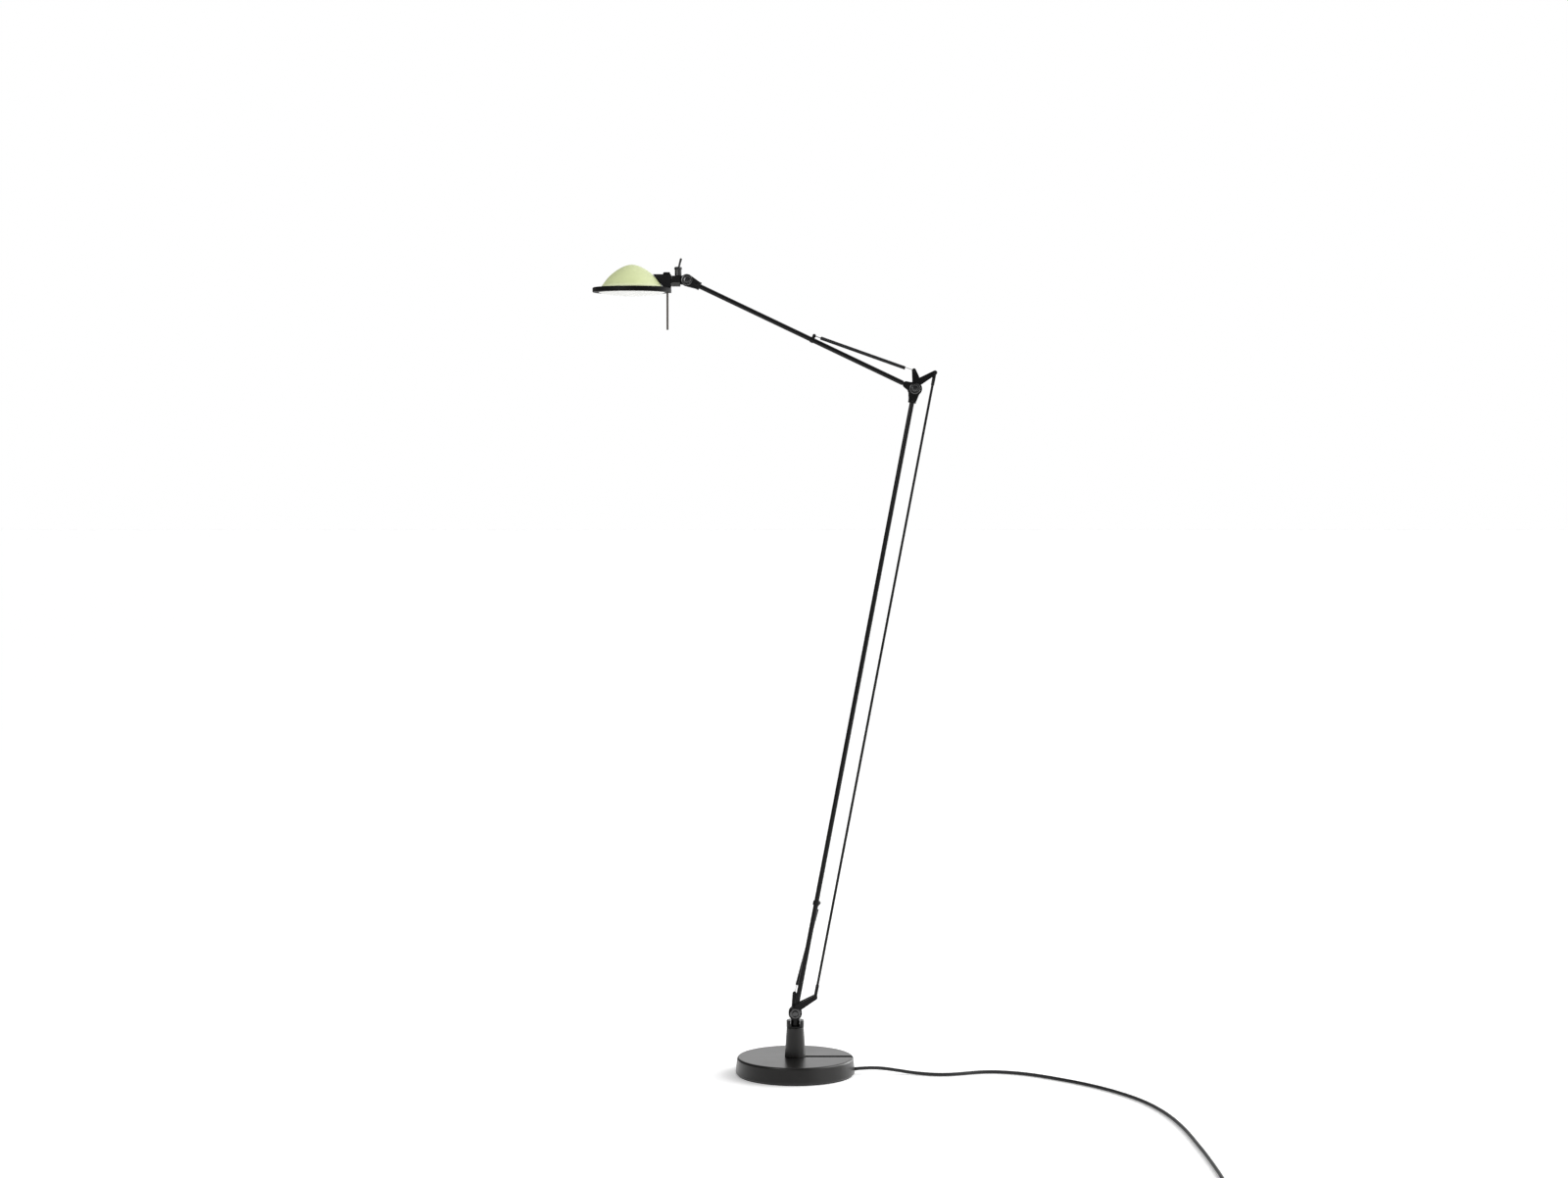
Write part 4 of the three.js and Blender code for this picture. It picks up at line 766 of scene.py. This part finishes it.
ears = [link((UPPER_ANCHOR_X, ANCHOR_S), 4.4, (4.65, ANCHOR_S), 6.4, y0, y1, 0.3, 32)
        for y0, y1 in ((-3.0, -1.8), (1.8, 3.0))]
band = bar(TUBE_D + 2.2, ANCHOR_S - 3.4, ANCHOR_S + 3.4, edge=0.4)
upper_clip = cut(union(band, *ears), box(0, 28, -1.8, 1.8, ANCHOR_S - 8, ANCHOR_S + 8),
                 bar(TUBE_D + 0.6, ANCHOR_S - 8, ANCHOR_S + 8, edge=0))
upper_clip = union(upper_clip, bar(3, -2.3, 2.3, (UPPER_ANCHOR_X, 0, ANCHOR_S), "Y", 0, 24))
upper_place = place(ELBOW, UPPER_LEAN)
piece("upper_spring_clip_fine", upper_clip, "upper_arm", ["upper_spring_clip"], black_steel, upper_place)
print("clips made")

# %% upper arm
head_hole = UPPER_L - SCREW_BACK
piece("upper_foot_fine", foot(7.2, 25, 13), "upper_arm", ["upper_foot"], black_steel, upper_place)
piece("upper_tube_fine", arm_tube(25, UPPER_L - 19.3, head_hole), "upper_arm", ["upper_tube"], black_steel,
      upper_place)
piece("upper_fork_fine", fork(UPPER_L, 23, 4.0, UPPER_FORK_OUT, head_hole), "upper_arm", ["upper_fork"],
      black_casting, upper_place)
piece("upper_fork_screw_fine", screw(8.3, head_hole), "upper_arm", ["upper_fork_screw"], black_steel,
      upper_place)
print("upper arm made")

# %% [markdown]
# ## Rod and springs
# The thin rod runs beside the lower arm and keeps the elbow bracket level. Each spring is a close wound coil
# of wire, made by a Screw modifier that takes a small circle round while it climbs. A hook slides in and out
# of the coil.

# %% parallel rod
rod_place = place(along_arm(BASE_PIVOT, 0, *ROD_PIN), LOWER_LEAN)
rod_outline = [(0, 3), (3.3, 3), (3.3, 23.6), (2.5, 25), (2.5, LOWER_L - 25), (3.3, LOWER_L - 23.6),
               (3.3, LOWER_L - 3), (0, LOWER_L - 3)]
rod = turned(eased(rod_outline, 0.4, 3), 40)
eyes = [bar(8.4, -2.8, 2.8, (0, 0, s), "Y", 0.5, 40) for s in (0, LOWER_L)]
rod = cut(union(rod, *eyes), *[pin_hole(0, s) for s in (0, LOWER_L)])
piece("parallel_rod_fine", rod, "parallel_rod", ["parallel_rod"], black_steel, rod_place)
print("rod made")


# %% springs
SPRING_D, WIRE_D, HOOK_D, LOOP_R = 7, 0.9, 1.6, 2.9
SHANK_D = HOOK_D - 0.4        # the CAD's is a whole HOOK_D, and cuts the upper coil at the elbow's limit
COIL_SHORT, HOOK_SHORT = 13, 17            # from an anchor and from a horn's pin to the coil's end
HOOK_INSIDE = 16                           # of a shank that is inside the coil at rest
LOWER_AIM, UPPER_AIM = -0.6, 1.6           # how far beside its horn's pin each coil points at rest


def wire_ring(y):
    """An end loop round a pin: a small circle spun once."""
    outline = [(LOOP_R + HOOK_D / 2 * math.cos(math.radians(a)), HOOK_D / 2 * math.sin(math.radians(a)))
               for a in range(0, 360, 30)]
    return turned(outline, 36, (0, y, 0), "Y", True)


def coil(start, end, y):
    """Close wound wire: a circle that a Screw modifier takes round while it climbs by one wire a turn."""
    bm = bmesh.new()
    middle = (SPRING_D - WIRE_D) / 2
    where = Matrix.Translation((middle, 0, start + WIRE_D / 2)) @ Matrix.Rotation(math.pi / 2, 4, "X")
    bmesh.ops.create_circle(bm, cap_ends=False, segments=6, radius=WIRE_D / 2, matrix=where)
    base = bpy.data.objects.new("being wound", to_mesh(bm))
    scene.collection.objects.link(base)
    winding = base.modifiers.new("winding", "SCREW")
    winding.iterations = int((end - start - WIRE_D) / (WIRE_D * 1.04))
    winding.screw_offset = (end - start - WIRE_D) / winding.iterations
    winding.steps = winding.render_steps = 16
    wound = bpy.data.meshes.new_from_object(base.evaluated_get(bpy.context.evaluated_depsgraph_get()))
    bpy.data.objects.remove(base)
    bm = bmesh.new()
    bm.from_mesh(wound)
    bpy.data.meshes.remove(wound)
    bmesh.ops.holes_fill(bm, edges=[e for e in bm.edges if e.is_boundary], sides=8)
    bmesh.ops.translate(bm, verts=bm.verts, vec=(0, y, 0))
    return to_mesh(bm)


def spring(name, horn, anchor, y, aim):
    """A coil on its anchor and a hook on its horn pin, in line with each other."""
    run = Vector(horn) - Vector(anchor)
    lean = math.atan2(run.x, run.z)
    neck = turned(eased([(0, 12), (0.8, 12), (2.6, 13.4), (3.05, 14.2), (0, 14.2)], 0.3, 3), 24, (0, y, 0))
    winding = merged(coil(COIL_SHORT, run.length - HOOK_SHORT, y), neck)
    coil_place = place(anchor, lean + aim / run.length)
    piece(f"{name}_winding", winding, f"{name}_coil", [f"{name}_coil"], dark_spring, coil_place, 60, False)
    tail = merged(bar(HOOK_D, LOOP_R, 12.6, (0, y, 0), edge=0, sides=16), wire_ring(y))
    piece(f"{name}_anchor_loop", tail, f"{name}_coil", [f"{name}_coil"], spring_steel, coil_place, 60, False)
    shank = bar(SHANK_D, LOOP_R, HOOK_SHORT + HOOK_INSIDE, (0, y, 0), edge=0.3, sides=16)
    shank = merged(shank, wire_ring(y))
    piece(f"{name}_hook_fine", shank, f"{name}_hook", [f"{name}_hook"], spring_steel,
          place(horn, lean + math.pi), 60, False)
    print(name, "winding faces:", len(winding.polygons))


spring("lower_spring", along_arm(BASE_PIVOT, 0, *SPRING_PIN),
       along_arm(BASE_PIVOT, LOWER_LEAN, LOWER_ANCHOR_X, ANCHOR_S), SPRING_Y, LOWER_AIM)
spring("upper_spring", along_arm(ELBOW, 0, *SPRING_PIN),
       along_arm(ELBOW, UPPER_LEAN, UPPER_ANCHOR_X, ANCHOR_S), 0, UPPER_AIM)

# %% [markdown]
# ## Elbow
# Two cheeks hold the upper arm's tongue between them, joined by a small web between their horns.

# %% elbow bracket
BR_IN, BR_OUT = 3.9, 6.5
bracket_sides = []
for y0, y1 in ((-BR_OUT, -BR_IN), (BR_IN, BR_OUT)):
    bracket_sides += [cheek(28, y0, y1), spring_horn(y0, y1, (3.5, 14), 16, 0)]
web = link((13.5, 12.5), 4, (21, 18), 4, -BR_IN - 0.5, BR_IN + 0.5, 0)
bracket = cut(union(*bracket_sides, web), bolt_hole(), pin_hole(*SPRING_PIN))
piece("elbow_bracket_fine", bracket, "elbow_bracket", ["elbow_bracket"], black_casting, place(ELBOW))
pivot("elbow", "elbow_bracket", ELBOW, LOWER_FORK_OUT)
rivet("upper_rod_rivet", "elbow_bracket", ELBOW, BR_OUT, *ROD_PIN)
rivet("upper_spring_rivet", "elbow_bracket", ELBOW, BR_OUT, *SPRING_PIN)
print("elbow bracket", len(bracket.polygons), "faces")

# %% [markdown]
# ## Head
# A small box on the arm's end holds the switch, with a bushing and its lever on top. The head proper rolls on
# a pin in a wedge block that follows the dome. The glass dome sits on a flat ring, a white bowl closes it
# from below, and a thin steel handle hangs from a lug in the ring.

# %% switch housing
BUSHING_X = -16.6
ROLL_Z = -1.8                 # the height of the axis that the head rolls about
head_place = place(HEAD_PIVOT)
shell = box(-29, -12.2, -9, 9, -3.7, 8.2, 1.0)
tongue = link((0, 0), 20, (-14.2, 0), 15.4, -3.6, 3.6, 0.5, 48)
tongue = cut(tongue, box(-40, -12.7, -9, 9, -12, 12))
room = box(-26, -15.2, -6, 6, -4.7, 5.2)
spindle = cut(bar(9, -42, -28.5, (0, 0, ROLL_Z), "X", 0.5), box(-60, 0, -20, 20, -30, -9.7))
flange = box(-29, -27, -4.5, 4.5, -6.3, -0.8)
housing = cut(union(shell, tongue), room, bar(7.6, 0, 9.2, (BUSHING_X, 0, 0), edge=0))
housing = cut(union(housing, spindle, flange), bolt_hole())
piece("switch_housing_fine", housing, "head_carrier", ["switch_housing"], black_casting, head_place)

cover = cut(box(-29, -12.5, -9, 9, -11.8, -4, 1.2), box(-26.7, -15.5, -6, 6, -8.8, 0),
            box(-30, -26.7, -4.8, 4.8, -6.6, 0), box(-14, 0, -3.9, 3.9, -22, 0))
piece("housing_cover_fine", cover, "head_carrier", ["housing_cover"], grey_casting, head_place)
pivot("head", "head_carrier", HEAD_PIVOT, UPPER_FORK_OUT)
print("housing made")

# %% bushing and lever
bushing = [(0, 5.2), (3.5, 5.2), (3.5, 8.5), (6.5, 8.5), (6.5, 20), (7.7, 21.2), (7.7, 22.2), (6.2, 25.2),
           (4.9, 25.2), (3.7, 23), (3.7, 16.2), (0, 16.2)]
bushing = eased(bushing, [0, 0, 0.1, 0.4, 0.8, 0.5, 0.6, 0.6, 0.4, 0.5, 0.2, 0], 4)
bushing = turned(bushing, 64, (BUSHING_X, 0, 0))
piece("switch_bushing_fine", bushing, "head_carrier", ["switch_bushing"], black_plastic, head_place)
lever_at = along_arm(HEAD_PIVOT, 0, BUSHING_X, 19.8)
ball = [(3.1 * math.sin(math.radians(a)), -3.1 * math.cos(math.radians(a))) for a in range(0, 141, 20)]
stalk = [(1.95, 2.4), (1.9, 4), (2.3, 20.9), (1.9, 22.1), (0, 22.5)]
lever = turned(ball + eased([ball[-1]] + stalk, [0, 0, 0.2, 1.2, 0.9, 0], 4)[1:], 40)
piece("switch_lever_fine", lever, "switch_lever", ["switch_lever"], black_plastic,
      place(lever_at, math.radians(15)))
print("bushing and lever made")

# %% ring, dome and diffuser
RING_X = -104.6
RING_TOP = -14.1
RING_FOOT = -23.3
RING_R = 75
ring_outline = [(63.5, RING_FOOT), (RING_R, RING_FOOT), (RING_R, RING_TOP), (54, RING_TOP),
                (54, RING_TOP - 3.4), (63.5, RING_TOP - 3.4)]
ring = turned(eased(ring_outline, [0.5, 2.0, 2.0, 0.4, 0.4, 0.3], 6, True), 160, (RING_X, 0, 0), closed=True)
edge_x = RING_X + RING_R
ring = cut(ring, box(edge_x - 9.9, edge_x + 1, -6.3, 6.3, RING_FOOT - 1, RING_TOP - 3.7))
piece("head_ring_fine", ring, "head", ["head_ring"], ring_black, head_place)


def smooth_profile(points, steps=5):
    """More points along a curve through the given ones."""
    made = []
    for i in range(len(points) - 1):
        p = [Vector(points[max(0, min(len(points) - 1, i + k))]) for k in (-1, 0, 1, 2)]
        for step in range(steps):
            t = step / steps
            made.append(tuple(0.5 * (2 * p[1] + (p[2] - p[0]) * t
                                     + (2 * p[0] - 5 * p[1] + 4 * p[2] - p[3]) * t ** 2
                                     + (3 * p[1] - p[0] - 3 * p[2] + p[3]) * t ** 3)))
    return made + [tuple(points[-1])]


DOME_R = 57.5
DOME_Z = RING_TOP + 0.3
curve = [(DOME_R - 1.7, 4.7), (DOME_R - 6.2, 11.0), (DOME_R - 14.0, 20.4), (DOME_R - 24, 29.0),
         (DOME_R - 34, 35.7), (DOME_R - 46, 41.3), (0, 43.6)]
outer = eased([(DOME_R, 0), (DOME_R, 2.6), (DOME_R - 1.7, 4.7)], [0, 1.4, 0], 4) + smooth_profile(curve)[1:]
inner = [(54.9, 0)] + [(r - 2.6, z - 2.0) for r, z in smooth_profile(curve) if r > 3] + [(0, 41.0)]
glass = turned([(r, z + DOME_Z) for r, z in outer[::-1] + inner], 128, (RING_X, 0, 0))
piece("glass_dome_fine", glass, "head", ["glass_dome"], green_glass, head_place, sharp=40, weigh=False)


def bowl_arc(r, foot, angles):
    """The shallow curve of the bowl, at some angles from its middle."""
    turns = [math.radians(a) for a in angles]
    return [(r * math.sin(a), foot - BOWL_DEPTH * math.cos(a) ** 1.6) for a in turns]


BOWL_R, BOWL_DEPTH = 63, 6.9
bowl_top = RING_TOP - 3.7
bowl_out = bowl_arc(BOWL_R, RING_FOOT, range(0, 86, 5)) + [(BOWL_R, RING_FOOT + 0.6), (BOWL_R, bowl_top)]
bowl_in = [(61, bowl_top), (60.8, RING_FOOT + 1.8)] + bowl_arc(60, RING_FOOT + 2.2, range(80, -1, -5))
bowl = turned([(max(r, 0), z) for r, z in bowl_out + bowl_in], 128, (RING_X, 0, 0))
piece("diffuser_fine", bowl, "head", ["diffuser"], white_diffuser, head_place, sharp=40, weigh=False)
print("ring", len(ring.polygons), "dome", len(glass.polygons), "bowl", len(bowl.polygons), "faces")

# %% block, cap, lug and handle
block_foot = RING_X + 59
base_z = RING_TOP + 0.3
wedge = [(-29.6, base_z), (-29.6, 11), (block_foot - 19, 11), (block_foot, base_z + 2.4),
         (block_foot, base_z)]
wedge = slab(eased(wedge, [0.5, 1.6, 1.2, 0.8, 0.3], 4, True), -10, 10, 0.7)
wedge = cut(wedge, bar(9.6, -43.6, -28.6, (0, 0, ROLL_Z), "X", 0),
            bar(4.6, base_z - 1, base_z + 4, (-37, 0, 0), edge=0))
piece("head_block_fine", wedge, "head", ["head_block"], black_casting, head_place)
cap = [(-31.4, 11.3), (-45.4, 11.3), (-44, 15), (-32.4, 15)]
cap = slab(eased(cap, [0.2, 0.4, 1.4, 0.9], 4, True), -8, 8, 0.7)
piece("block_cap_fine", cap, "head", ["block_cap"], black_casting, head_place)

handle_x = edge_x - 7.4
lug = box(edge_x - 9.6, edge_x, -6, 6, RING_FOOT - 0.9, RING_TOP - 4.0, 0.8)
lug = cut(lug, bar(4.6, RING_FOOT - 2, RING_TOP - 5.5, (handle_x, 0, 0), edge=0, sides=24))
piece("handle_boss_fine", lug, "head", ["handle_boss"], grey_casting, head_place)
handle_end, handle_top = RING_FOOT - 71, RING_FOOT + 2.6
handle = [(0, handle_end), (2, handle_end), (2, handle_top), (0, handle_top)]
handle = turned(eased(handle, [0, 1.0, 0.3, 0], 5), 32, (handle_x, 0, 0))
piece("handle_fine", handle, "head", ["handle"], handle_steel, head_place)
print("block, cap, lug and handle made")

# %% [markdown]
# ## Pieces kept from the CAD
# Some pieces are hidden inside others, and their CAD shape is already right. They only get a finish.

# %% finishes for the kept pieces
KEPT = {
    "post_nut": bright_steel, "swivel_bush": white_plastic, "circlip": bright_steel,
    "cord_grip": black_plastic, "switch_body": black_plastic, "lamp_socket": ceramic, "bulb": bulb_glass,
}
for name, used in KEPT.items():
    kept = nodes[name]
    kept.data.materials.clear()
    kept.data.materials.append(used)
print("kept from the CAD:", ", ".join(KEPT))

# %% [markdown]
# ## Floor and light
# A plain white floor runs into a white background, as in a product studio. The camera sees the room as white,
# but its light on the lamp comes from the right and a little from behind. The rest of the room is dim, so
# that black pieces stay black and only their edges and right sides catch the light.

# %% floor
bm = bmesh.new()
bmesh.ops.create_grid(bm, x_segments=1, y_segments=1, size=40)
floor_mesh = bpy.data.meshes.new("floor")
bm.to_mesh(floor_mesh)
bm.free()
floor = bpy.data.objects.new("floor", floor_mesh)
scene.collection.objects.link(floor)
floor_paint = bpy.data.materials.new("floor_paint")
floor_paint.use_nodes = True
paint = floor_paint.node_tree.nodes["Principled BSDF"]
paint.inputs["Base Color"].default_value = (0.97, 0.97, 0.97, 1)
paint.inputs["Roughness"].default_value = 0.9
paint.inputs["Specular IOR Level"].default_value = 0.1
paint.inputs["Emission Color"].default_value = (1, 1, 1, 1)
paint.inputs["Emission Strength"].default_value = 0.28
floor_mesh.materials.append(floor_paint)
print("floor made")

# %% room light
BRIGHT_SIDE = (0.9, 0.45, 0)
ROOM_DIM, ROOM_BRIGHT = 0.1, 1.15
world = bpy.data.worlds.new("studio")
world.use_nodes = True
scene.world = world
tree = world.node_tree
node, wire = tree.nodes.new, tree.links.new
backdrop = tree.nodes["Background"]
where, along = node("ShaderNodeTexCoord"), node("ShaderNodeVectorMath")
along.operation = "DOT_PRODUCT"
along.inputs[1].default_value = BRIGHT_SIDE
depth = node("ShaderNodeMapRange")
depth.interpolation_type = "SMOOTHSTEP"
depth.inputs["From Min"].default_value = -0.1
depth.inputs["From Max"].default_value = 0.45
depth.inputs["To Min"].default_value = ROOM_DIM
depth.inputs["To Max"].default_value = ROOM_BRIGHT
wire(where.outputs["Generated"], along.inputs[0])
wire(along.outputs["Value"], depth.inputs["Value"])
seen, mix = node("ShaderNodeLightPath"), node("ShaderNodeMix")
mix.inputs["B"].default_value = 1.0
wire(seen.outputs["Is Camera Ray"], mix.inputs["Factor"])
wire(depth.outputs[0], mix.inputs["A"])
wire(mix.outputs["Result"], backdrop.inputs["Strength"])
backdrop.inputs["Color"].default_value = (1, 1, 1, 1)


def soft_light(name, at, toward, size, power, size_y=None):
    """A rectangular lamp that points at a spot."""
    data = bpy.data.lights.new(name, "AREA")
    data.energy = power
    data.size = size
    if size_y:
        data.shape = "RECTANGLE"
        data.size_y = size_y
    light = bpy.data.objects.new(name, data)
    light.location = at
    light.rotation_euler = (Vector(toward) - Vector(at)).to_track_quat("-Z", "Y").to_euler()
    light.visible_camera = False
    scene.collection.objects.link(light)


soft_light("right", (2.75, 2.0, 0.8), (0, 0, 0.3), 1.8, 60, 1.8)
soft_light("head fill", (-1.1, -1.35, 1.95), (-0.3, 0, 1.5), 1.0, 17)
sky = bpy.data.lights.new("sky", "SUN")
sky.energy = 1.2
sky.angle = math.radians(35)
sky_light = bpy.data.objects.new("sky", sky)
sky_light.rotation_euler = Vector((-1.0, -0.1, -0.8)).to_track_quat("-Z", "Y").to_euler()
scene.collection.objects.link(sky_light)
scene.view_settings.view_transform = "Standard"
scene.view_settings.look = "None"
print("studio lit")

# %% count of pieces, then the end
print("pieces made:", len(made_pieces))
